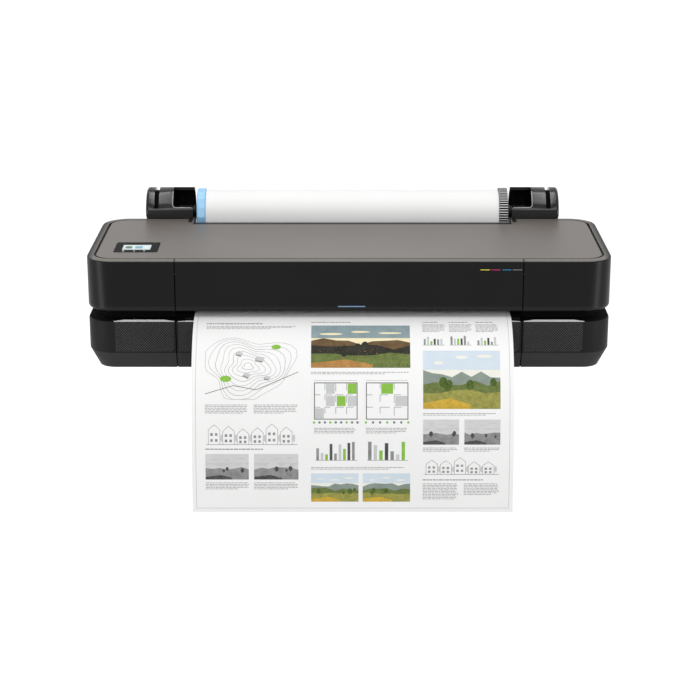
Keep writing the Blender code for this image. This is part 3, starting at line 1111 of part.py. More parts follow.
power_supply = extruded("power_supply", STEEL, "X", supply_x[0], supply_x[1], [
    (supply_y[0], BASE_TOP + FIT), (supply_y[1] - 2 * BASE_LIP, BASE_TOP + FIT),
    (supply_y[1] - 2 * BASE_LIP, BASE_TOP + SUPPLY_HEIGHT - WALL),
    (supply_y[1] - 2 * BASE_LIP - WALL, BASE_TOP + SUPPLY_HEIGHT),
    (supply_y[0] + WALL, BASE_TOP + SUPPLY_HEIGHT), (supply_y[0], BASE_TOP + SUPPLY_HEIGHT - WALL)])


def rear_socket(name, mat, x, width, height, depth):
    """A socket body through the lower rear panel, flanged inside it."""
    limits_x = (x - width / 2, x + width / 2)
    limits_z = (INLET_Z - height / 2, INLET_Z + height / 2)
    cut(lower_rear_panel, extruded("socket_hole", mat, "Y", REAR - 2 * WALL, REAR + WALL, rectangle(
        (limits_x[0] - FIT, limits_x[1] + FIT), (limits_z[0] - FIT, limits_z[1] + FIT))))
    body = extruded(name, mat, "Y", REAR - depth, REAR, rectangle(limits_x, limits_z))
    flange = extruded("socket_flange_shape", mat, "Y", REAR - 2 * WALL - FIT, REAR - WALL - FIT, rectangle(
        (limits_x[0] - WALL, limits_x[1] + WALL), (limits_z[0] - WALL, limits_z[1] + WALL)))
    fuse(body, flange)
    return body


power_inlet = rear_socket("power_inlet", BLACK, INLET_X, INLET_WIDTH, INLET_HEIGHT, INLET_DEPTH)
well = rectangle((INLET_X - INLET_WIDTH / 2 + INLET_WALL, INLET_X + INLET_WIDTH / 2 - INLET_WALL),
                 (INLET_Z - INLET_HEIGHT / 2 + INLET_WALL, INLET_Z + INLET_HEIGHT / 2 - INLET_WALL),
                 INLET_WALL)
cut(power_inlet, extruded("inlet_well", BLACK, "Y", REAR - INLET_DEPTH + INLET_WALL, REAR + WALL, well))
for place_x, side_z in ((-1, -1), (0, 1), (1, -1)):
    pin_x = INLET_X + place_x * INLET_PIN_PITCH
    pin_z = INLET_Z + side_z * INLET_PIN_RISE
    fuse(power_inlet, block("inlet_pin_shape", BLACK,
                            (pin_x - INLET_PIN_WIDTH / 2, pin_x + INLET_PIN_WIDTH / 2),
                            (REAR - INLET_DEPTH + INLET_WALL / 2, REAR - INLET_PIN_SETBACK),
                            (pin_z - INLET_PIN_HEIGHT / 2, pin_z + INLET_PIN_HEIGHT / 2)))
data_ports = rear_socket("data_ports", BLACK, PORTS_X, PORTS_WIDTH, PORTS_HEIGHT, INLET_DEPTH)
for side in (-1, 1):
    middle = PORTS_X + side * PORTS_WIDTH / 4
    cut(data_ports, extruded("port_well", BLACK, "Y", REAR - SOCKET_DEPTH, REAR + WALL, rectangle(
        (middle - SOCKET_WIDTH / 2, middle + SOCKET_WIDTH / 2),
        (INLET_Z - SOCKET_WIDTH / 2, INLET_Z + SOCKET_WIDTH / 2))))
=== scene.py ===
"""Looks of a large format roll plotter: materials, printed sheet and small details over the frame.

Lengths are in metres. Only the drawing on the sheet is laid out in millimetres.
"""

import math
import random

import bmesh
import bpy
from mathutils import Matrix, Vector


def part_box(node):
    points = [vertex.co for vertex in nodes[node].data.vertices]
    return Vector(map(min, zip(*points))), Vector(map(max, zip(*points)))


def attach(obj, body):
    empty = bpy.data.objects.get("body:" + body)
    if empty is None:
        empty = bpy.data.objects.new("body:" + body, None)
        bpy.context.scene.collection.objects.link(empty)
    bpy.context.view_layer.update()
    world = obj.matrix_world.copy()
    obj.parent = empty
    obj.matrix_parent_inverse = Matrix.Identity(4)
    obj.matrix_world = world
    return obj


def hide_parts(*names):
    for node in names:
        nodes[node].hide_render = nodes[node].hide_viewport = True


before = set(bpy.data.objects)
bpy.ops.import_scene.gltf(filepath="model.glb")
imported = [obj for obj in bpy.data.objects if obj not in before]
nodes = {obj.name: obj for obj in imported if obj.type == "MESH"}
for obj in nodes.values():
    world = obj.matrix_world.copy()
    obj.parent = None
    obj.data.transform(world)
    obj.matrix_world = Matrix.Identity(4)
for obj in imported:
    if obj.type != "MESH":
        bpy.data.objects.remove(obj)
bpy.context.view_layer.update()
scene = bpy.context.scene

X, Y, Z = range(3)
LOW, HIGH = range(2)


def limit(node, end, axis):
    """Where a node begins or ends along an axis, to the micrometre."""
    return round(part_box(node)[end][axis], 6)


# Faces of the casing, and the axis of the roll
FRONT = limit("front_cover", LOW, Y)
REAR = limit("lower_rear_panel", HIGH, Y)
TOP = limit("top_panel", HIGH, Z)
LEDGE_TOP = limit("lower_front_panel", HIGH, Z)
AXIS_Y, AXIS_Z = (sum(limit("spindle_flange_ribbed", end, axis) for end in (LOW, HIGH)) / 2
                  for axis in (Y, Z))
SIDES = (("left", -1), ("right", 1))


# ---------------------------------------------------------------- materials

NOISE_RANGE = (0.3, 0.7)   # most of a noise lies between these
GRAIN = 2600.0             # scale of the fine grain of moulded plastic
DRIFT = 9.0                # scale of the broad drift of colour
GLOSS_DRIFT = 0.05         # how far roughness wanders with the grain
LEVEL_SOFT = 0.0002        # half the width in Z over which a capped finish changes
FOOT_SOFT = 0.0003         # the same at its foot
REACH_SOFT = (0.010, 0.003)    # and in X, before and after its reach
# Crests of the ribbed flange are painted pale as highlights
CREST_HIGHLIGHT_EDGE = (0.13, 0.20)  # where a crest ends, in rib pitches from its middle


def srgb(r, g, b):
    """Linear colour of 0-255 values."""
    def lin(c):
        c /= 255.0
        return c / 12.92 if c <= 0.04045 else ((c + 0.055) / 1.055) ** 2.4
    return (lin(r), lin(g), lin(b))


def new_material(name):
    mat = bpy.data.materials.new(name)
    mat.use_nodes = True
    tree = mat.node_tree
    return mat, tree, tree.nodes["Principled BSDF"]


def add(tree, kind, **values):
    node = tree.nodes.new(kind)
    for key, value in values.items():
        setattr(node, key, value)
    return node


def calc(tree, operation, *values):
    """One math node, each value a number or a socket."""
    node = add(tree, "ShaderNodeMath", operation=operation)
    for socket, value in zip(node.inputs, values):
        if isinstance(value, (int, float)):
            socket.default_value = value
        else:
            tree.links.new(value, socket)
    return node.outputs[0]


def remap(tree, value, start=(0.0, 1.0), end=(0.0, 1.0)):
    """A value carried over from one range to another and kept inside it."""
    node = add(tree, "ShaderNodeMapRange")
    for name, number in zip(("From Min", "From Max", "To Min", "To Max"), start + end):
        node.inputs[name].default_value = number
    tree.links.new(value, node.inputs["Value"])
    return node.outputs["Result"]


def spread(tree, factor, low, high):
    """A noise stretched over a range."""
    return remap(tree, factor, NOISE_RANGE, (low, high))


def band(tree, value, low, high):
    """0 below one value, 1 above the other."""
    return remap(tree, value, (low, high))


def mix(tree, factor, first, second):
    """From one tone to another by a factor, each a colour or a socket."""
    node = add(tree, "ShaderNodeMix", data_type="RGBA")
    tree.links.new(factor, node.inputs[0])
    for socket, tone in ((node.inputs[6], first), (node.inputs[7], second)):
        if isinstance(tone, tuple):
            socket.default_value = (*tone, 1)
        else:
            tree.links.new(tone, socket)
    return node.outputs[2]


def drift(tree, factor, colour, vary, most=1.0):
    """A colour that wanders darker and lighter by a share of itself."""
    dark = tuple(c * (1 - vary) for c in colour)
    light = tuple(min(most, c * (1 + vary)) for c in colour)
    return mix(tree, factor, dark, light)


def coords(tree, scale=(1, 1, 1)):
    tex = add(tree, "ShaderNodeTexCoord")
    mapping = add(tree, "ShaderNodeMapping")
    mapping.inputs["Scale"].default_value = scale
    tree.links.new(tex.outputs["Object"], mapping.inputs["Vector"])
    return mapping.outputs["Vector"]


def axes(tree, vector):
    """The X, Y and Z outputs of a vector."""
    node = add(tree, "ShaderNodeSeparateXYZ")
    tree.links.new(vector, node.inputs[0])
    return node.outputs


def noise(tree, vector, scale, detail=3.0):
    node = add(tree, "ShaderNodeTexNoise")
    node.inputs["Scale"].default_value = scale
    node.inputs["Detail"].default_value = detail
    tree.links.new(vector, node.inputs["Vector"])
    return node.outputs["Fac"]


def broad_noise(tree, place):
    return spread(tree, noise(tree, place, DRIFT, 4.0), 0.0, 1.0)


def grained(tree, shader, place, specular, rough=None, grain=GRAIN, strength=0.3, depth=0.00005):
    """A fine grain in the surface and, where a roughness is given, in the gloss."""
    fine = noise(tree, place, grain, 2.0)
    if rough is not None:
        gloss = spread(tree, fine, rough - GLOSS_DRIFT, rough + GLOSS_DRIFT)
        tree.links.new(gloss, shader.inputs["Roughness"])
    shader.inputs["Specular IOR Level"].default_value = specular
    node = add(tree, "ShaderNodeBump")
    node.inputs["Strength"].default_value = strength
    node.inputs["Distance"].default_value = depth
    tree.links.new(fine, node.inputs["Height"])
    tree.links.new(node.outputs["Normal"], shader.inputs["Normal"])


def moulded(name, colour, rough=0.45, specular=0.5, vary=0.10, grain=GRAIN, depth=0.00006,
            metallic=0.0, stretch=(1, 1, 1), strength=0.35, ior=1.5):
    """A finish with broad colour drift, uneven gloss and a fine surface grain."""
    mat, tree, shader = new_material(name)
    place = coords(tree, stretch)
    tone = drift(tree, broad_noise(tree, place), colour, vary)
    tree.links.new(tone, shader.inputs["Base Color"])
    grained(tree, shader, place, specular, rough, grain, strength, depth)
    shader.inputs["Metallic"].default_value = metallic
    shader.inputs["IOR"].default_value = ior
    return mat


def capped(name, side, cap, level, rough_side, rough_cap, specular, foot=None, reach=None):
    """One tone below a level of Z and another above it.

    A foot, a tone and its top, shows below that top. Beyond a reach in X the cap takes the side's tone.
    """
    mat, tree, shader = new_material(name)
    place = coords(tree)
    broad = broad_noise(tree, place)
    sides = drift(tree, broad, side, 0.10)
    caps = drift(tree, broad, cap, 0.04)
    parts = axes(tree, place)
    if foot:
        tone, top = foot
        above = band(tree, parts["Z"], top - FOOT_SOFT, top + FOOT_SOFT)
        sides = mix(tree, above, drift(tree, broad, tone, 0.05), sides)
    if reach:
        outward = calc(tree, "ABSOLUTE", parts["X"])
        beyond = band(tree, outward, reach - REACH_SOFT[0], reach + REACH_SOFT[1])
        caps = mix(tree, beyond, caps, sides)
    over = band(tree, parts["Z"], level - LEVEL_SOFT, level + LEVEL_SOFT)
    tree.links.new(mix(tree, over, sides, caps), shader.inputs["Base Color"])
    gloss = remap(tree, over, end=(rough_side, rough_cap))
    tree.links.new(gloss, shader.inputs["Roughness"])
    grained(tree, shader, place, specular)
    return mat


def highlit_crests(name, valley, crest_highlight_tone, edge, depth, count):
    """A rim of ribs with painted highlights on their crests: the tone turns with the distance from the
    axis and round it.
    """
    mat, tree, shader = new_material(name)
    place = coords(tree)
    parts = axes(tree, place)
    across = calc(tree, "SUBTRACT", parts["Y"], AXIS_Y)
    up = calc(tree, "SUBTRACT", parts["Z"], AXIS_Z)
    squares = [calc(tree, "MULTIPLY", side, side) for side in (across, up)]
    away = calc(tree, "SQRT", calc(tree, "ADD", *squares))
    turn = calc(tree, "MULTIPLY", calc(tree, "ARCTAN2", up, across), count / math.tau)
    off_crest_highlight = calc(tree, "PINGPONG", turn, 0.5)
    tone = mix(tree, band(tree, away, edge - depth, edge), valley, crest_highlight_tone)
    tone = mix(tree, band(tree, off_crest_highlight, *CREST_HIGHLIGHT_EDGE), tone, valley)
    tree.links.new(tone, shader.inputs["Base Color"])
    grained(tree, shader, place, specular=0.12, rough=0.39)
    return mat


def glowing(name, colour, strength):
    """A lit tone, a little uneven."""
    mat, tree, shader = new_material(name)
    shade = spread(tree, noise(tree, coords(tree), 60.0), 0.0, 1.0)
    tone = mix(tree, shade, tuple(c * 0.92 for c in colour), colour)
    for socket in ("Base Color", "Emission Color"):
        tree.links.new(tone, shader.inputs[socket])
    shader.inputs["Emission Strength"].default_value = strength
    shader.inputs["Roughness"].default_value = 0.3
    return mat


# Near black: the ribbed flange's own black, and painted shade on the lower body's ledge top
DEEP_BLACK_AND_SHADE_TONE = (0.0012, 0.0012, 0.0012)
FACE_TONE = (0.0040, 0.0041, 0.0043)
# Lighter band on the front cover's lower lip: a painted reflection of the floor
FACE_LIP_REFLECTION = ((0.0110, 0.0111, 0.0114), 0.1335)
FACE_REACH = 0.4995
LOWER_TONE = (0.0130, 0.0131, 0.0134)
# Lighter tone below the top of the bottom chamfer: painted light on the chamfer
LOWER_LIT_CHAMFER = ((0.0370, 0.0371, 0.0376), 0.0405)
TAUPE_TONE = srgb(97, 91, 86)
# Taupe of the rim, lighter than the top's: the rim's real taupe with a painted highlight on its rounded
# front edge
RIM_TAUPE_HIGHLIGHT_TONE = srgb(116, 112, 108)

FACE = capped("charcoal_painted_light_rim_and_lip", FACE_TONE, RIM_TAUPE_HIGHLIGHT_TONE, TOP - 0.0020, rough_side=0.36,
              rough_cap=0.46, specular=0.13, foot=FACE_LIP_REFLECTION, reach=FACE_REACH)
# Above the ledge's top the lower body takes the near black tone: painted shade under the upper body's
# overhang
LOWER = capped("charcoal_lower_painted_shade_and_light", LOWER_TONE, DEEP_BLACK_AND_SHADE_TONE, LEDGE_TOP - 0.0006, rough_side=0.50,
               rough_cap=0.80, specular=0.08, foot=LOWER_LIT_CHAMFER)
TAUPE = capped("taupe", (0.010, 0.010, 0.010), TAUPE_TONE, TOP - 0.0003, rough_side=0.60,
               rough_cap=0.42, specular=0.44)
# Pale crests of the ribbed flange: painted highlights on the glossy black ribs
RIBBED_HIGHLIT = highlit_crests("ribbed_black_crest_highlights", DEEP_BLACK_AND_SHADE_TONE, srgb(215, 215, 217), edge=0.0499, depth=0.0005, count=60)

# Name, linear colour, roughness, specular level, and the share by which the colour varies
CHARCOAL = moulded("charcoal", (0.0125, 0.0126, 0.0130), 0.44, 0.26)
# Light tone of the lower front's ridges: a painted highlight on the same charcoal plastic
RIDGE_HIGHLIGHT = moulded("rib_crest_highlight", (0.082, 0.082, 0.084), 0.46, 0.16)
# Pale tone of the ledge bead: a painted highlight on the ledge's front edge
LEDGE_HIGHLIGHT = moulded("ledge_highlight_paint", srgb(186, 186, 186), 0.40, 0.25, 0.04)
DRUM = moulded("drum_black", (0.0050, 0.0050, 0.0054), 0.20, 0.30, strength=0.12)
# Pale grey of the cradle's edge tube: a painted highlight
EDGE = moulded("drum_edge_highlight", (0.42, 0.42, 0.425), 0.25, 0.5, 0.05)
SLOT_DARK = moulded("slot_dark", (0.0015, 0.0015, 0.0016), 0.70, 0.04)
BLACK = moulded("black", (0.0060, 0.0060, 0.0064), 0.42, 0.16)
BEZEL = moulded("bezel_black", (0.0260, 0.0262, 0.0266), 0.34, 0.08, ior=1.08)
DARK_STEEL = moulded("painted_steel", (0.0080, 0.0080, 0.0084), 0.55, 0.15)
RUBBER = moulded("rubber", (0.012, 0.012, 0.012), 0.85, 0.25, 0.15, grain=1500.0, depth=0.0001)
STEEL = moulded("sheet_steel", (0.50, 0.51, 0.52), 0.34, 0.5, 0.08, grain=900.0, depth=0.00003,
                metallic=1.0, stretch=(0.15, 1, 1))
ROD = moulded("ground_steel", (0.62, 0.62, 0.62), 0.18, 0.5, 0.04, grain=3000.0, depth=0.00001,
              metallic=1.0, stretch=(8, 1, 1))
BLUE = moulded("blue_stop", srgb(150, 202, 240), 0.34, 0.45, 0.04)
PAPER = moulded("paper", (0.86, 0.86, 0.855), 0.82, 0.20, 0.012, grain=1400.0, depth=0.00004)
CARD = moulded("core_card", (0.36, 0.26, 0.16), 0.90, 0.2, 0.12, grain=700.0, depth=0.0002)
GREY = moulded("grey_plastic", (0.22, 0.22, 0.225), 0.48, 0.4)
PALE = moulded("pale_nylon", (0.55, 0.54, 0.50), 0.45, 0.4)
GLASS = moulded("cover_glass", (0.012, 0.013, 0.015), 0.12, 0.5, 0.05, grain=200.0, depth=0.00001)
BOARD = moulded("solder_mask", (0.018, 0.120, 0.050), 0.40, 0.5, 0.12, grain=500.0, depth=0.00005)
YELLOW = moulded("ink_yellow", (0.78, 0.58, 0.03), 0.36, 0.4, 0.05)
MAGENTA = moulded("ink_magenta", (0.52, 0.02, 0.22), 0.36, 0.4, 0.05)
CYAN = moulded("ink_cyan", (0.01, 0.30, 0.56), 0.36, 0.4, 0.05)
KEY = moulded("key_mark", srgb(215, 218, 220), 0.4, 0.3, 0.02)

# Name, linear colour, strength of its own light
LIGHT = glowing("light_guide", srgb(120, 158, 190), 0.12)
SCREEN = glowing("screen_lit", srgb(200, 211, 214), 0.20)
PILL_GREEN = glowing("pill_green", srgb(24, 78, 52), 0.35)
PILL_TEAL = glowing("pill_teal", srgb(70, 138, 160), 0.35)
PILL_GREY = glowing("pill_grey", srgb(190, 200, 206), 0.45)

FINISHES = (
    (FACE, "upper_end_left upper_end_right front_cover"),
    (LOWER, "lower_end_left lower_end_right lower_front_panel lower_rear_panel"),
    (CHARCOAL, "rear_inner_guide rear_cover power_button"),
    (DRUM, "roll_support_left roll_support_right"),
    (TAUPE, "top_panel"),
    (BLACK, "output_guide platen carriage pinch_carrier power_inlet data_ports spindle_shaft "
            "spindle_bush_left spindle_bush_right"),
    (BEZEL, "control_bezel"),
    (RIBBED_HIGHLIT, "spindle_flange_ribbed"),
    (DARK_STEEL, "front_rail side_frame_left side_frame_right platen_beam base_pan"),
    (RUBBER, "foot_front_left foot_front_right foot_rear_left foot_rear_right drive_belt "
             "feed_roller pinch_rollers"),
    (STEEL, "main_beam carriage_motor feed_motor power_supply"),
    (ROD, "hinge_rod guide_rod"),
    (BLUE, "spindle_flange_blue"),
    (PAPER, "paper_roll paper_sheet"),
    (CARD, "roll_core"),
    (GREY, "printhead ink_cartridge_black service_station flex_cable"),
    (PALE, "drive_pulley idler_pulley feed_gear feed_pinion"),
    (GLASS, "control_screen"),
    (LIGHT, "status_light"),
    (BOARD, "main_board"),
    (YELLOW, "ink_cartridge_yellow"),
    (MAGENTA, "ink_cartridge_magenta"),
    (CYAN, "ink_cartridge_cyan"))
finish_of = {name: mat for mat, names in FINISHES for name in names.split()}


# ---------------------------------------------------------------- smoothing of the frame's solids

SHARP_ANGLE = 40        # degrees; edges over it stay sharp and take a bevel
WELD_DISTANCE = 0.000005


def smoothing_group(angle):
    """Geometry nodes that shade smooth and keep edges over an angle in degrees sharp."""
    group = bpy.data.node_groups.new("smooth_by_angle_%d" % angle, "GeometryNodeTree")
    group.interface.new_socket("Geometry", in_out="INPUT", socket_type="NodeSocketGeometry")
    group.interface.new_socket("Geometry", in_out="OUTPUT", socket_type="NodeSocketGeometry")
    start = add(group, "NodeGroupInput")
    end = add(group, "NodeGroupOutput")
    faces = add(group, "GeometryNodeSetShadeSmooth", domain="FACE")
    edges = add(group, "GeometryNodeSetShadeSmooth", domain="EDGE")
    bend = add(group, "GeometryNodeInputMeshEdgeAngle")
    over = add(group, "FunctionNodeCompare", data_type="FLOAT", operation="GREATER_THAN")
    over.inputs[1].default_value = math.radians(angle)
    edges.inputs["Shade Smooth"].default_value = False
    link = group.links.new
    link(start.outputs[0], faces.inputs["Geometry"])
    link(faces.outputs[0], edges.inputs["Geometry"])
    link(bend.outputs["Unsigned Angle"], over.inputs[0])
    link(over.outputs[0], edges.inputs["Selection"])
    link(edges.outputs[0], end.inputs[0])
    return group


SMOOTH = smoothing_group(34)
FACETED = smoothing_group(14)
edge_width = dict.fromkeys(
    ("top_panel control_bezel carriage service_station rear_cover ink_cartridge_yellow "
     "ink_cartridge_magenta ink_cartridge_cyan ink_cartridge_black").split(), 0.0005)
edge_width["roll_support_left"] = edge_width["roll_support_right"] = 0.0014


def soften(obj, width, group):
    """Weld, bevel where a width is given, and smooth a solid, all by modifiers."""
    weld = obj.modifiers.new("weld", "WELD")
    weld.merge_threshold = WELD_DISTANCE
    if width:
        bevel = obj.modifiers.new("edges", "BEVEL")
        bevel.width = width
        bevel.segments = 2
        bevel.limit_method = "ANGLE"
        bevel.angle_limit = math.radians(SHARP_ANGLE)
    smooth = obj.modifiers.new("smooth", "NODES")
    smooth.node_group = group
    normals = obj.modifiers.new("normals", "WEIGHTED_NORMAL")
    normals.keep_sharp = True


for name, obj in nodes.items():
    obj.data.materials.clear()
    obj.data.materials.append(finish_of[name])
    if name != "paper_sheet":
        soften(obj, edge_width.get(name, 0.0), FACETED if name == "spindle_flange_blue" else SMOOTH)


# ---------------------------------------------------------------- added pieces

def piece(name, body, slot, bm, *mats):
    """A finished mesh that rides on a body."""
    bmesh.ops.recalc_face_normals(bm, faces=bm.faces)
    mesh = bpy.data.meshes.new(name)
    bm.to_mesh(mesh)
    bm.free()
    for mat in mats:
        mesh.materials.append(mat)
    obj = bpy.data.objects.new(name, mesh)
    scene.collection.objects.link(obj)
    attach(obj, body)
    return obj


def shade_round(obj):
    """Smooth shading with sharp edges kept."""
    obj.data.shade_smooth()
    obj.data.set_sharp_from_angle(angle=math.radians(SHARP_ANGLE))


def skin(bm, rings, mat=0):
    """The faces of a closed bar over rings of vertices."""
    faces = [bm.faces.new(rings[0][::-1]), bm.faces.new(rings[-1])]
    for a, b in zip(rings, rings[1:]):
        for i in range(len(a)):
            j = (i + 1) % len(a)
            faces.append(bm.faces.new((a[i], a[j], b[j], b[i])))
    for face in faces:
        face.material_index = mat


def prism(bm, outline, low, high, place, mat=0):
    """A closed slab: an outline of (u, v) points between two depths, set down by place(u, v, depth)."""
    skin(bm, [[bm.verts.new(place(u, v, depth)) for u, v in outline] for depth in (low, high)], mat)


def tube(bm, points, radius, sides=8):
    """A closed round bar along points that never run along Y."""
    last = len(points) - 1
    rings = []
    for i, point in enumerate(points):
        along = (points[min(i + 1, last)] - points[max(i - 1, 0)]).normalized()
        across = along.cross(Vector((0, 1, 0))).normalized()
        out = across.cross(along)
        turns = [math.tau * k / sides for k in range(sides)]
        rings.append([bm.verts.new(point + radius * (math.cos(t) * across + math.sin(t) * out))
                      for t in turns])
    skin(bm, rings)


def rect(u0, v0, u1, v1):
    return [(u0, v0), (u1, v0), (u1, v1), (u0, v1)]


def oval(cu, cv, ru, rv, count=20, start=0.0):
    turns = [start + math.tau * k / count for k in range(count)]
    return [(cu + ru * math.cos(t), cv + rv * math.sin(t)) for t in turns]


def rounded(u0, v0, u1, v1, radius, steps=4):
    points = []
    for cu, cv, first in ((u1 - radius, v0 + radius, -90), (u1 - radius, v1 - radius, 0),
                          (u0 + radius, v1 - radius, 90), (u0 + radius, v0 + radius, 180)):
        for k in range(steps + 1):
            turn = math.radians(first + 90 * k / steps)
            points.append((cu + radius * math.cos(turn), cv + radius * math.sin(turn)))
    return points


def on_front(u, v, depth):
    return (u, FRONT - depth, v)


def on_rear(u, v, depth):
    return (u, REAR + depth, v)


def on_top(u, v, depth):
    return (u, v, depth)


SUNK = 0.0003           # how far a mark or fastener starts inside the face that carries it

# Lower front: the middle panel and the end covers carry the ribs and the bead up to these distances
# from the middle
MIDDLE_END, SIDE_START = 0.3300, 0.3365
RIB_END, BEAD_END = 0.4520, 0.4535
RIB_LOW, RIB_HIGH = 0.0435, 0.1025
RIB_PITCH, RIB_HALF, RIB_TALL, RIB_SUNK = 0.0050, 0.0012, 0.0010, 0.0001
RIB_SHORTEST = 0.06     # share of a whole rib; shorter ones are left out
FIELD_PROUD = 0.0002
BEAD_BACK, BEAD_WIDE, BEAD_DEEP = 0.0006, 0.0010, 0.0008
BEAD_TAPER, BEAD_TIP = 0.020, 0.12
SIDE_BEAD_TALL, MIDDLE_BEAD_TALL = 0.0026, 0.0012


def ribs(name, x0, x1):
    """Diagonal ridges moulded into the lower front, cut off at the edges of a dark field. The ridges
    are painted lighter than the plastic, a painted highlight.
    """
    bm = bmesh.new()
    rise = RIB_HIGH - RIB_LOW
    start = x0 - rise
    for k in range(int((x1 - start) / RIB_PITCH) + 1):
        foot = start + k * RIB_PITCH
        t0 = max(0.0, (x0 - (foot - RIB_HALF)) / rise)
        t1 = min(1.0, (x1 - (foot + RIB_HALF)) / rise)
        if t1 - t0 < RIB_SHORTEST:
            continue
        rings = []
        for t in (t0, t1):
            u, v = foot + rise * t, RIB_LOW + rise * t
            section = ((u - RIB_HALF, -RIB_SUNK), (u, RIB_TALL), (u + RIB_HALF, -RIB_SUNK))
            rings.append([bm.verts.new(on_front(x, v, depth)) for x, depth in section])
        skin(bm, rings)
    prism(bm, rect(x0, RIB_LOW, x1, RIB_HIGH), -RIB_SUNK, FIELD_PROUD, on_front, 1)
    piece(name, "chassis", "charcoal", bm, RIDGE_HIGHLIGHT, BLACK)


def bead(name, x0, x1, tall):
    """Pale bead along the front of the ledge, drawn out thin at its ends: a painted highlight of the
    ledge's front edge.
    """
    bm = bmesh.new()
    front, low = FRONT + BEAD_BACK, LEDGE_TOP - BEAD_DEEP
    rings = []
    for x, share in ((x0, BEAD_TIP), (x0 + BEAD_TAPER, 1.0), (x1 - BEAD_TAPER, 1.0), (x1, BEAD_TIP)):
        rise = tall * share
        back, high = front + BEAD_WIDE + rise, LEDGE_TOP + rise
        section = ((front, low), (front, LEDGE_TOP), (front + rise, high), (back, high), (back, low))
        rings.append([bm.verts.new((x, y, z)) for y, z in section])
    skin(bm, rings)
    piece(name, "chassis", "grey", bm, LEDGE_HIGHLIGHT)


ribs("ribs_left", -RIB_END, -SIDE_START)
ribs("ribs_middle", -MIDDLE_END, MIDDLE_END)
ribs("ribs_right", SIDE_START, RIB_END)
bead("ledge_highlight_left", -BEAD_END, -SIDE_START, SIDE_BEAD_TALL)
bead("ledge_highlight_middle", -MIDDLE_END, MIDDLE_END, MIDDLE_BEAD_TALL)
bead("ledge_highlight_right", SIDE_START, BEAD_END, SIDE_BEAD_TALL)

# Roll supports: the cradle opens in the front of the drum, and a slot runs round it further out
DRUM_RADIUS = 0.052
CRADLE_WIDTH, CRADLE_RISE, CRADLE_CORNER = 0.042, 0.020, 0.006
CORNER_DEPTHS = (0.0002, 0.0040)
EDGE_RADIUS, EDGE_START, EDGE_STEP = 0.0008, 0.003, 0.004
WEB_RADIUS, WEB_NEAR, WEB_FAR = 0.0455, 0.0695, 0.0815
NOTCH_SIDE, NOTCH_DEEP, NOTCH_BACK = 0.0015, 0.0008, 0.004


def on_drum(x, rise):
    """A point on the front of a drum, by its height over the axis."""
    return Vector((x, AXIS_Y - math.sqrt(DRUM_RADIUS ** 2 - rise ** 2), AXIS_Z + rise))


def inner_face(label, side):
    """X of the face of a roll support that looks at the roll."""
    low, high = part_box("roll_support_" + label)
    return high.x if side < 0 else low.x


def cradle(label, side):
    """Rounded corner of a cradle, and a pale tube along its edge: a painted highlight of the edge."""
    inner = inner_face(label, side)
    corner = inner + side * CRADLE_WIDTH
    turns = [math.radians(degrees) for degrees in range(0, 91, 15)]
    bend = [(corner - side * CRADLE_CORNER * (1 - math.sin(t)),
             CRADLE_RISE + CRADLE_CORNER * (1 - math.cos(t))) for t in turns]
    bm = bmesh.new()
    prism(bm, [(corner, CRADLE_RISE)] + bend, *CORNER_DEPTHS,
          lambda u, v, depth: on_drum(u, v) + Vector((0, depth, 0)))
    piece("cradle_corner_" + label, "chassis", "black", bm, DRUM)
    edge = [(inner + side * EDGE_START, CRADLE_RISE)] + bend
    edge += [(corner, CRADLE_RISE + EDGE_STEP * k) for k in range(2, 8)]
    bm = bmesh.new()
    tube(bm, [on_drum(u, v) for u, v in edge], EDGE_RADIUS)
    rim = piece("cradle_edge_highlight_" + label, "chassis", "black", bm, EDGE)
    rim.data.shade_smooth()


def slot_web(label, side):
    """Dark web in the slot of a drum."""
    inner = inner_face(label, side)
    near, far = sorted((inner + side * WEB_NEAR, inner + side * WEB_FAR))
    bm = bmesh.new()
    prism(bm, oval(AXIS_Y, AXIS_Z, WEB_RADIUS, WEB_RADIUS, 48), near, far,
          lambda u, v, depth: (depth, u, v))
    shade_round(piece("slot_web_" + label, "chassis", "black", bm, SLOT_DARK))


def notch_corner(label, side):
    """Corner of the top beside the roll: a patch of the top, and a dark one on it."""
    low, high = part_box("rear_inner_guide")
    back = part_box("roll_support_" + label)[0].y + NOTCH_BACK
    corner = (low.x if side < 0 else high.x) + side * NOTCH_SIDE
    bm = bmesh.new()
    # Each patch's nearer and further side, its length before the guide's rear, its height and material
    for near, far, deep, proud, mat in ((0.0030, 0.0195, 0.0185, 0.0002, 0),
                                        (0.0035, 0.0120, 0.0040, 0.0005, 1)):
        x0, x1 = sorted((corner + side * near, corner + side * far))
        prism(bm, rect(x0, high.y - deep, x1, back), TOP - NOTCH_DEEP, TOP + proud, on_top, mat)
    piece("notch_corner_" + label, "chassis", "black", bm, TAUPE, BLACK)


for label, side in SIDES:
    cradle(label, side)
for label, side in SIDES:
    slot_web(label, side)
    notch_corner(label, side)

# Vents and screws of the rear panel. The vents are black slots laid on the panel: painted shade of the
# openings.
VENT_COUNT, VENT_LEFT, VENT_PITCH, VENT_WIDE, VENT_ROUND = 24, -0.117, 0.010, 0.004, 0.0019
VENT_LOW, VENT_HIGH, VENT_PROUD = 0.060, 0.088, 0.00015
SCREW_X, SCREW_Z = (-0.31, -0.15, 0.15, 0.31), 0.053
SCREW_HEAD, HEAD_PROUD = 0.0034, 0.0007
SCREW_SOCKET, SOCKET_FOOT, SOCKET_PROUD = 0.0015, 0.0005, 0.0008

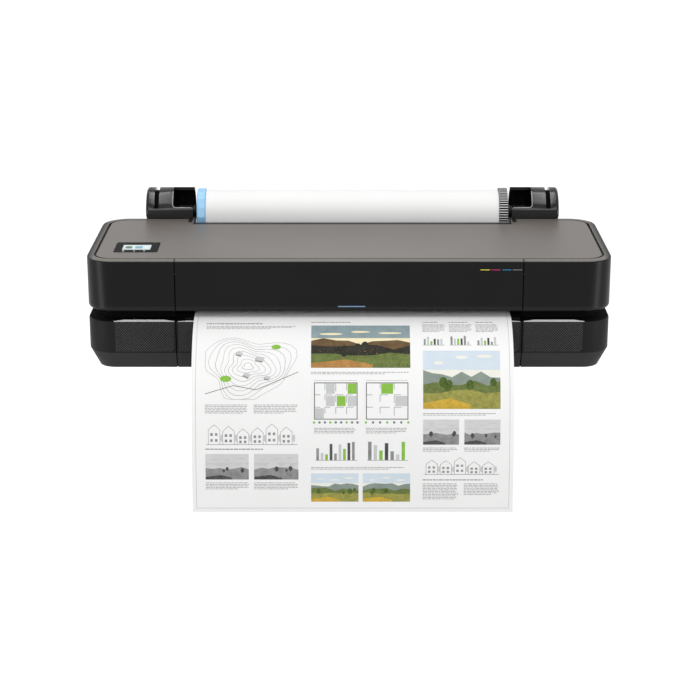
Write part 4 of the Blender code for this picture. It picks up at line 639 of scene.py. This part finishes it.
bm = bmesh.new()
for k in range(VENT_COUNT):
    u = VENT_LEFT + VENT_PITCH * k
    prism(bm, rounded(u, VENT_LOW, u + VENT_WIDE, VENT_HIGH, VENT_ROUND), -SUNK, VENT_PROUD, on_rear)
piece("rear_vent_shades", "chassis", "black", bm, BLACK)
bm = bmesh.new()
for u in SCREW_X:
    head = oval(u, SCREW_Z, SCREW_HEAD, SCREW_HEAD)
    socket = oval(u, SCREW_Z, SCREW_SOCKET, SCREW_SOCKET, 6)
    prism(bm, head, -SUNK, HEAD_PROUD, on_rear)
    # Black hexagon in each head: painted shade of the screw's socket recess
    prism(bm, socket, SOCKET_FOOT, SOCKET_PROUD, on_rear, 1)
piece("rear_screws", "chassis", "grey", bm, STEEL, BLACK)

# Colour marks on the front cover, each in the slot of its colour
MARK_LOW, MARK_HIGH, MARK_ROUND, MARK_PROUD = 0.2061, 0.2078, 0.0008, 0.00012
for key, tone, x0, x1 in (("yellow", srgb(204, 196, 62), 0.251, 0.269),
                          ("magenta", srgb(170, 34, 92), 0.2715, 0.289),
                          ("cyan", srgb(40, 118, 160), 0.293, 0.310),
                          ("grey", srgb(104, 104, 106), 0.3125, 0.331)):
    bm = bmesh.new()
    prism(bm, rounded(x0, MARK_LOW, x1, MARK_HIGH, MARK_ROUND), -SUNK, MARK_PROUD, on_front)
    piece("ink_mark_" + key, "front_cover_body", key, bm, moulded("mark_" + key, tone, 0.4, 0.3, 0.03))

# Control panel: lit screen with three soft keys, and key marks on the bezel
screen_low, screen_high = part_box("control_screen")
bezel_low, bezel_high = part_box("control_bezel")
SCREEN_WIDE, SCREEN_DEEP = screen_high.x - screen_low.x, screen_high.y - screen_low.y
PANEL_SUNK = 0.0002
KEY_FRONT, KEY_STRETCH = 0.0085, 1.4        # distance from the bezel's front, and length over width
SCREEN_PROUD, PILL_FOOT, PILL_PROUD, KEY_PROUD = 0.00005, 0.00003, 0.00012, 0.00008


def screen_rect(x0, y0, x1, y1, radius):
    """A rounded box on the screen, by shares of its width and depth."""
    return rounded(screen_low.x + SCREEN_WIDE * x0, screen_low.y + SCREEN_DEEP * y0,
                   screen_low.x + SCREEN_WIDE * x1, screen_low.y + SCREEN_DEEP * y1, radius)


bm = bmesh.new()
face = screen_high.z
prism(bm, screen_rect(0.02, 0.03, 0.98, 0.97, 0.0010), face - PANEL_SUNK, face + SCREEN_PROUD, on_top)
for mat, pill in enumerate(((0.10, 0.24, 0.34, 0.72, 0.0035), (0.44, 0.24, 0.70, 0.72, 0.0035),
                            (0.78, 0.30, 0.92, 0.66, 0.0022)), 1):
    prism(bm, screen_rect(*pill), face + PILL_FOOT, face + PILL_PROUD, on_top, mat)
piece("screen_display", "chassis", "screen", bm, SCREEN, PILL_GREEN, PILL_TEAL, PILL_GREY)
bm = bmesh.new()
face = bezel_high.z
for along, radius in ((0.004, 0.0024), (SCREEN_WIDE * 0.45, 0.0019), (SCREEN_WIDE * 0.80, 0.0019)):
    mark = oval(screen_low.x + along, bezel_low.y + KEY_FRONT, radius, radius * KEY_STRETCH, 16)
    prism(bm, mark, face - PANEL_SUNK, face + KEY_PROUD, on_top)
piece("key_marks", "chassis", "grey", bm, KEY)


# ---------------------------------------------------------------- hanging sheet

PAPER_LEFT, PAPER_RIGHT = (limit("paper_sheet", end, X) for end in (LOW, HIGH))
SHEET_THICK = 0.0003
SHEET_GAP = 0.0004                          # between the sheet and the platen
SHEET_Y = limit("paper_sheet", HIGH, Y) - SHEET_THICK / 2    # where it leaves the roll
LEVEL = limit("platen", HIGH, Z) + SHEET_GAP + SHEET_THICK / 2
TURN_R = 0.110                              # of the turn from the roll to the platen
TURN_Y, TURN_Z = SHEET_Y - TURN_R, LEVEL + TURN_R
TURN_STEPS = 24
EXIT_Y = FRONT + 0.015                      # where it starts to droop
BEND, HANG = 0.120, 0.411                   # length in which it droops, and length that hangs
STEPS, STRIDE = 412, 4                      # steps of the hanging length, and how many a face spans
COLUMNS = 24


def droop_at(length):
    """The angle below level after a length from the exit."""
    return math.pi / 2 * (1.0 - math.exp(-length / BEND))


STEP = HANG / STEPS
line = [(EXIT_Y, LEVEL, 0.0)]
for k in range(STEPS):
    y, z = line[-1][:2]
    droop = droop_at((k + 0.5) * STEP)
    line.append((y - math.cos(droop) * STEP, z - math.sin(droop) * STEP, droop_at((k + 1) * STEP)))


def on_sheet(u, v, lift):
    """A point of the hanging length: u from the left edge, v down from the exit, lift off the face."""
    t = min(max(v / HANG, 0.0), 1.0) * STEPS
    k = min(int(t), STEPS - 1)
    y, z, droop = (a + (b - a) * (t - k) for a, b in zip(line[k], line[k + 1]))
    rise = SHEET_THICK / 2 + lift
    return (PAPER_LEFT + u, y - math.sin(droop) * rise, z + math.cos(droop) * rise)


path = [((SHEET_Y, AXIS_Z), -math.pi / 2)]
for k in range(TURN_STEPS + 1):
    turn = -math.pi / 2 * k / TURN_STEPS
    path.append(((TURN_Y + TURN_R * math.cos(turn), TURN_Z + TURN_R * math.sin(turn)),
                 turn - math.pi / 2))
path += [((y, z), math.pi + droop) for y, z, droop in line[::STRIDE]]
columns_x = [PAPER_LEFT + (PAPER_RIGHT - PAPER_LEFT) * c / COLUMNS for c in range(COLUMNS + 1)]
bm = bmesh.new()
rings = []
for (y, z), heading in path:
    across = heading + math.pi / 2
    ring = []
    for offset in (-SHEET_THICK / 2, SHEET_THICK / 2):
        dy, dz = offset * math.cos(across), offset * math.sin(across)
        ring.append([bm.verts.new((x, y + dy, z + dz)) for x in columns_x])
    rings.append(ring)
for a, b in zip(rings, rings[1:]):
    for c in range(COLUMNS):
        for face in (0, 1):
            bm.faces.new((a[face][c], a[face][c + 1], b[face][c + 1], b[face][c]))
    for c in (0, COLUMNS):
        bm.faces.new((a[0][c], a[1][c], b[1][c], b[0][c]))
for ring in (rings[0], rings[-1]):
    for c in range(COLUMNS):
        bm.faces.new((ring[0][c], ring[0][c + 1], ring[1][c + 1], ring[1][c]))
sheet = piece("sheet", "chassis", "paper", bm, PAPER)
shade_round(sheet)
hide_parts("paper_sheet")


# ---------------------------------------------------------------- print on the sheet

# Name, 0-255 colour, how far it mottles, and the scale of that
INK_TABLE = (
    ("black", (52, 52, 54), 0.05, 120.0), ("mid", (122, 123, 124), 0.05, 120.0),
    ("pale", (196, 197, 198), 0.03, 120.0), ("frame", (188, 189, 190), 0.02, 120.0),
    ("green", (136, 186, 74), 0.08, 120.0), ("sky", (206, 218, 228), 0.03, 30.0),
    ("sky_low", (232, 232, 222), 0.02, 30.0), ("far_hill", (136, 148, 140), 0.10, 60.0),
    ("hill", (104, 118, 66), 0.22, 90.0), ("meadow", (150, 148, 78), 0.20, 110.0),
    ("ochre", (200, 164, 62), 0.14, 70.0), ("earth", (104, 84, 58), 0.24, 80.0),
    ("shadow", (52, 50, 44), 0.25, 90.0), ("water", (138, 156, 160), 0.10, 50.0),
    ("wood", (178, 132, 76), 0.16, 60.0), ("glow", (238, 226, 188), 0.04, 40.0),
    ("g_light", (206, 206, 206), 0.04, 50.0), ("g_mid", (140, 140, 140), 0.20, 80.0),
    ("g_dark", (74, 74, 75), 0.25, 90.0), ("leaf", (76, 98, 46), 0.30, 160.0))
INKS = {row[0]: index for index, row in enumerate(INK_TABLE)}

# Tones of a picture: sky, low sky, far range, hill, field, near ground, tree
COLOUR = ("sky", "sky_low", "far_hill", "hill", "meadow", "ochre", "leaf")
DUSK = ("water", "glow", "earth", "shadow", "hill", "wood", "shadow")
MONO = ("g_light", "pale", "g_light", "g_mid", "g_mid", "g_dark", "g_dark")

FILM_LAYER, FILM_THICK = 0.00002, 0.000016
FILM_STEP, FILM_MARGIN = 4.0, 0.2           # millimetres between the cuts that let a film bend
WORD_GAP, LINE_PITCH = 1.3, 3.0
SCRUB_CELL = 3.8

pattern = random.Random(4)
film = bmesh.new()


def ink(name, colour, vary, scale):
    """A printed tone, mottled like a picture."""
    mat, tree, shader = new_material("print_" + name)
    shade = spread(tree, noise(tree, coords(tree), scale, 5.0), 0.0, 1.0)
    tree.links.new(drift(tree, shade, colour, vary, most=0.95), shader.inputs["Base Color"])
    shader.inputs["Roughness"].default_value = 0.75
    shader.inputs["Specular IOR Level"].default_value = 0.15
    return mat


def put(outline, tone, layer=0):
    """A film of ink over an outline in millimetres on the sheet, bent with it."""
    low = FILM_LAYER * (1 + layer)
    bm = bmesh.new()
    prism(bm, [(u / 1000, v / 1000) for u, v in outline], low, low + FILM_THICK, on_top)
    top = min(v for u, v in outline)
    base = max(v for u, v in outline)
    for k in range(int(top / FILM_STEP) + 1, int(base / FILM_STEP) + 1):
        v = FILM_STEP * k
        if top + FILM_MARGIN < v < base - FILM_MARGIN:
            bmesh.ops.bisect_plane(bm, geom=bm.verts[:] + bm.edges[:] + bm.faces[:], dist=1e-8,
                                   plane_co=(0, v / 1000, 0), plane_no=(0, 1, 0))
    made = {vert: film.verts.new(on_sheet(*vert.co)) for vert in bm.verts}
    for face in bm.faces:
        film.faces.new([made[v] for v in face.verts]).material_index = INKS[tone]
    bm.free()


def box_of(u, v, w, h, tone, layer=0):
    put(rect(u, v, u + w, v + h), tone, layer)


def stroke(points, width, tone, layer=0):
    """A line through points, one bar to each stretch."""
    for (a, b), (c, d) in zip(points, points[1:]):
        length = math.hypot(c - a, d - b)
        if length > 0.01:
            nu, nv = -(d - b) / length * width / 2, (c - a) / length * width / 2
            put([(a + nu, b + nv), (c + nu, d + nv), (c - nu, d - nv), (a - nu, b - nv)], tone, layer)


def outline_box(u, v, w, h, width, tone, layer=0):
    right, foot = u + w, v + h
    for edge in (rect(u, v, right, v + width), rect(u, foot - width, right, foot),
                 rect(u, v + width, u + width, foot - width),
                 rect(right - width, v + width, right, foot - width)):
        put(edge, tone, layer)


def words(u, v, width, rows, tone="mid", size=1.1):
    """Lines of word-length dashes, as small text reads from a step away. The last line may be short."""
    for row in range(rows):
        shortest = 0.62 if row == rows - 1 else 0.93
        end = u + width * pattern.uniform(shortest, 1.0)
        at_u = u
        while at_u < end - 2:
            length = min(pattern.uniform(2.4, 8.5), end - at_u)
            box_of(at_u, v + row * LINE_PITCH, length, size, tone)
            at_u += length + WORD_GAP


def clipped(points, u0, v0, u1, v1):
    return [(min(max(u, u0), u1), min(max(v, v0), v1)) for u, v in points]


def scrub(u, v, w, h, tones, layer):
    """Bushes and tufts over a field, larger towards its foot, one to a cell so that none overlap."""
    columns, rows = int(w / SCRUB_CELL), int(h / SCRUB_CELL)
    for r in range(rows):
        near = 0.60 + 0.40 * r / rows
        for c in range(columns):
            if pattern.random() < 0.25:
                continue
            size = SCRUB_CELL * 0.30 * near * pattern.uniform(0.5, 1.0)
            stray = SCRUB_CELL * 0.48 - size
            cu = u + w * (c + 0.5) / columns + pattern.uniform(-stray, stray)
            cv = v + h * (r + 0.5) / rows + pattern.uniform(-stray, stray)
            put(oval(cu, cv, size, size * pattern.uniform(0.5, 0.9), 6, pattern.uniform(0, 1)),
                tones[pattern.randrange(len(tones))], layer)


def landscape(u, v, w, h, tones, layer=1):
    """A picture of layered land: sky, far range, hills, field and a few trees."""
    sky, low_sky, far, hill, field, near, tree = tones
    right, foot = u + w, v + h
    box_of(u, v, w, h * 0.34, sky, layer)
    box_of(u, v + h * 0.34, w, h * 0.66, low_sky, layer)
    for step, (base, count, least, most, tone) in enumerate(
            ((0.50, 9, 0.00, 0.17, far), (0.62, 7, 0.00, 0.12, hill), (0.76, 6, 0.02, 0.10, field)), 1):
        skyline = [(u + w * k / (count - 1), v + h * base - h * pattern.uniform(least, most))
                   for k in range(count)]
        put(skyline + [(right, foot), (u, foot)], tone, layer + step)
    put([(u, v + h * 0.90), (u + w * 0.35, v + h * 0.82), (u + w * 0.62, v + h * 0.93),
         (u + w * 0.62, foot), (u, foot)], near, layer + 4)
    for k in range(3):
        cu, cv = u + w * (0.2 + 0.3 * k), v + h * pattern.uniform(0.10, 0.24)
        cloud = oval(cu, cv, w * pattern.uniform(0.06, 0.12), h * pattern.uniform(0.018, 0.034), 14)
        put(cloud, low_sky, layer + 1)
    scrub(u, v + h * 0.55, w, h * 0.44, (tree, hill, field, near), layer + 6)
    for k in range(max(3, int(w / 22))):
        cu, size = u + w * pattern.uniform(0.08, 0.92), h * pattern.uniform(0.06, 0.11)
        cv = v + h * pattern.uniform(0.56, 0.72)
        box_of(cu - size * 0.06, cv, size * 0.12, size * 0.9, near, layer + 4)
        crown = oval(cu, cv - size * 0.3, size * 0.75, size, 12)
        put(clipped(crown, u, v, right, foot), tree, layer + 5)


def plan(u, v, w, h, columns, rows):
    """A plain plan: outer walls, partitions with openings, grey rooms and a planted yard."""
    outline_box(u, v, w, h, 1.5, "black", 1)
    cw, rh = w / columns, h / rows
    for c in range(columns):
        for r in range(rows):
            left, top = u + c * cw, v + r * rh
            pick = pattern.random()
            if pick < 0.34:
                box_of(left + 2, top + 2, cw - 4, rh - 4, "pale" if pick < 0.22 else "green")
            if c:
                box_of(left - 0.4, top, 0.8, rh * pattern.uniform(0.45, 0.72), "black", 1)
            if r:
                box_of(left, top - 0.4, cw * pattern.uniform(0.45, 0.75), 0.8, "black", 1)
    for k in range(columns * 2 + 1):
        put(oval(u + w * k / (columns * 2), v + h + 5.5, 2.4, 2.4, 12), "mid" if k % 3 else "green")
    stroke([(u, v - 4), (u + w, v - 4)], 0.5, "mid")


def contours(u, v, w, h, count):
    """Rings of a hillside survey, cut off by the drawing's edges, with a path and a few buildings."""
    for k in range(count):
        share = (k + 1) / count
        ring = []
        for a in range(41):
            t = math.tau * a / 40
            wave = 1 + 0.16 * math.sin(3 * t + k * 0.35) + 0.08 * math.sin(5 * t - k * 0.2)
            ring.append((u + w * (0.46 + 0.48 * share * wave * math.cos(t)),
                         v + h * (0.52 + 0.46 * share * wave * math.sin(t))))
        stroke(clipped(ring, u, v, u + w, v + h), 0.55, "mid" if k % 3 else "black")
    for a, b, size in ((0.36, 0.34, 9), (0.58, 0.42, 12), (0.44, 0.66, 10), (0.66, 0.70, 8)):
        lean = pattern.uniform(0, 1.2)
        spot = [(u + w * a + size * math.cos(lean + t) * 0.75,
                 v + h * b + size * math.sin(lean + t) * 0.6) for t in (0.6, 2.5, 3.7, 5.7)]
        put(spot, "g_mid", 1)
        put([(p + 1.8, q - 2.4) for p, q in spot], "pale", 2)
    put(oval(u + w * 0.22, v + h * 0.70, 11, 6, 18), "green", 1)
    put(oval(u + w * 0.76, v + h * 0.22, 9, 5, 18), "green", 1)
    stroke([(u, v + h * 0.92), (u + w * 0.3, v + h * 0.80), (u + w * 0.55, v + h * 0.86),
            (u + w, v + h * 0.60)], 1.1, "black", 2)


def row_of_roofs(u, v, w, h, count):
    """A street front in thin lines, with trees."""
    step, ground = w / count, v + h
    for k in range(count):
        left, tall = u + k * step, h * pattern.uniform(0.45, 0.72)
        eaves = ground - tall
        stroke([(left, ground), (left, eaves), (left + step * 0.4, eaves - h * 0.22),
                (left + step * 0.8, eaves), (left + step * 0.8, ground)], 0.6, "black")
        for row in range(2):
            for col in range(2):
                box_of(left + step * (0.14 + 0.32 * col), ground - tall * (0.78 - 0.4 * row),
                       step * 0.17, h * 0.12, "g_mid")
        put(oval(left + step * 0.92, v + h * 0.72, step * 0.09, h * 0.17, 12), "pale")
    stroke([(u - 4, ground), (u + w + 4, ground)], 0.7, "black")


def bars(u, v, w, h, count):
    """A small bar chart on a base line."""
    for k in range(count):
        tall = h * pattern.uniform(0.25, 1.0)
        tone = ("g_mid", "pale", "green", "g_dark")[k % 4]
        box_of(u + w * k / count, v + h - tall, w / count * 0.62, tall, tone)
    stroke([(u - 2, v + h + 0.6), (u + w + 2, v + h + 0.6)], 0.6, "black")


# The layout: millimetres across from the left edge and down from the exit, then width and height
outline_box(7.6, 2.0, 594.8, HANG * 1000 - 9.6, 0.9, "frame")
# Left third: heading, survey drawing, street front
words(26, 34, 150, 1, "black", 2.0)
words(26, 42, 172, 3)
contours(26, 62, 176, 130, 9)
words(26, 202, 84, 6)
words(118, 202, 84, 6)
row_of_roofs(32, 234, 164, 44, 6)
words(26, 286, 120, 1, "black", 1.5)
landscape(26, 296, 82, 50, MONO)
landscape(118, 296, 84, 50, MONO)
words(26, 352, 84, 5)
words(118, 352, 84, 5)
# Middle: wide picture above, then plans, charts and two pictures
words(226, 30, 110, 1, "black", 1.5)
landscape(226, 40, 188, 92, DUSK)
words(226, 140, 186, 2)
plan(232, 160, 82, 70, 4, 3)
plan(330, 160, 80, 70, 3, 3)
words(232, 246, 80, 4)
words(330, 246, 80, 4)
bars(236, 272, 76, 36, 9)
bars(334, 272, 74, 36, 7)
words(226, 322, 186, 2)
landscape(226, 334, 90, 56, COLOUR)
landscape(324, 334, 90, 56, COLOUR)
# Right: text columns with charts, large picture, two grey ones, street front
for k in range(3):
    words(438 + k * 51, 30, 42, 1, "black", 1.4)
    words(438 + k * 51, 37, 44, 7)
    bars(440 + k * 51, 66, 38, 20, 6)
landscape(438, 98, 146, 112, COLOUR)
words(438, 218, 146, 2)
landscape(438, 230, 68, 48, MONO)
landscape(516, 230, 68, 48, MONO)
words(438, 284, 68, 3)
words(516, 284, 68, 3)
row_of_roofs(444, 300, 134, 36, 5)
words(438, 346, 146, 1, "black", 1.5)
words(438, 354, 68, 11)
words(516, 354, 68, 8)
ink_mats = [ink(name, srgb(*tone), vary, scale) for name, tone, vary, scale in INK_TABLE]
sheet_print = piece("sheet_print", "chassis", "paper", film, *ink_mats)


# ---------------------------------------------------------------- camera, light and floor

FLOOR_Z, FLOOR_HALF = -0.95, 30.0
FLOOR_TONE, FLOOR_LIFT = 0.42, 0.90         # what the floor reflects, and what it adds where it is seen
WORLD_LIGHT = 0.52                          # what falls on the object; the world is seen at 1

# The camera, fitted to the photograph's view
camera = bpy.data.objects.new("camera", bpy.data.cameras.new("camera"))
scene.collection.objects.link(camera)
camera.location = (0.0, -3.6505, 1.150)
camera.rotation_euler = (math.radians(72.8), 0.0, 0.0)
camera.data.sensor_width = 36.0
camera.data.lens = 97.0
camera.data.shift_x = 0.0014
camera.data.shift_y = -0.019
camera.data.clip_end = 100.0
scene.camera = camera

scene.view_settings.view_transform = "Standard"


def shown(tree):
    """1 where the camera, a reflection or glass looks, 0 for light that falls on things."""
    ray = add(tree, "ShaderNodeLightPath")
    seen = ray.outputs["Is Camera Ray"]
    for kind in ("Is Transmission Ray", "Is Glossy Ray"):
        seen = calc(tree, "MAXIMUM", seen, ray.outputs[kind])
    return seen


def lamp(name, place, aim, size, power):
    """A rectangular area lamp, aimed at a point, with its power in watts."""
    data = bpy.data.lights.new(name, "AREA")
    data.shape = "RECTANGLE"
    data.size, data.size_y = size
    data.energy = power
    obj = bpy.data.objects.new(name, data)
    scene.collection.objects.link(obj)
    obj.location = place
    obj.rotation_euler = (Vector(aim) - Vector(place)).to_track_quat("-Z", "Y").to_euler()


world = bpy.data.worlds.new("studio")
world.use_nodes = True
scene.world = world
tree = world.node_tree
background = tree.nodes["Background"]
background.inputs["Color"].default_value = (1, 1, 1, 1)
tree.links.new(remap(tree, shown(tree), end=(WORLD_LIGHT, 1.0)), background.inputs["Strength"])

lamp("overhead", (0.0, 0.35, 2.6), (0, 0, 0.1), (1.4, 1.2), 2)
for label, side in SIDES:
    lamp(label + "_key", (side * 0.65, -0.10, 2.3), (side * 0.65, -0.10, 0.0), (0.07, 2.6), 13)
lamp("fill", (0.0, -3.3, 1.35), (0, 0, 0.25), (2.8, 1.2), 41)
lamp("rear_sheen", (0.0, 3.2, 0.85), (0, 0, 0.22), (0.9, 0.4), 1.0)
for label, side in SIDES:
    lamp(label + "_edge", (side * 2.2, -1.2, -0.2), (side * 0.4, 0, 0.15), (0.45, 1.1), 14)

floor_mat, tree, shader = new_material("floor")
shader.inputs["Base Color"].default_value = (FLOOR_TONE, FLOOR_TONE, FLOOR_TONE, 1)
shader.inputs["Roughness"].default_value = 0.9
shader.inputs["Specular IOR Level"].default_value = 0.0
shader.inputs["Emission Color"].default_value = (1, 1, 1, 1)
tree.links.new(calc(tree, "MULTIPLY", shown(tree), FLOOR_LIFT), shader.inputs["Emission Strength"])
bm = bmesh.new()
bmesh.ops.create_grid(bm, x_segments=2, y_segments=2, size=FLOOR_HALF)
mesh = bpy.data.meshes.new("floor")
bm.to_mesh(mesh)
bm.free()
mesh.materials.append(floor_mat)
floor = bpy.data.objects.new("floor", mesh)
floor.location = (0, 0, FLOOR_Z)
scene.collection.objects.link(floor)
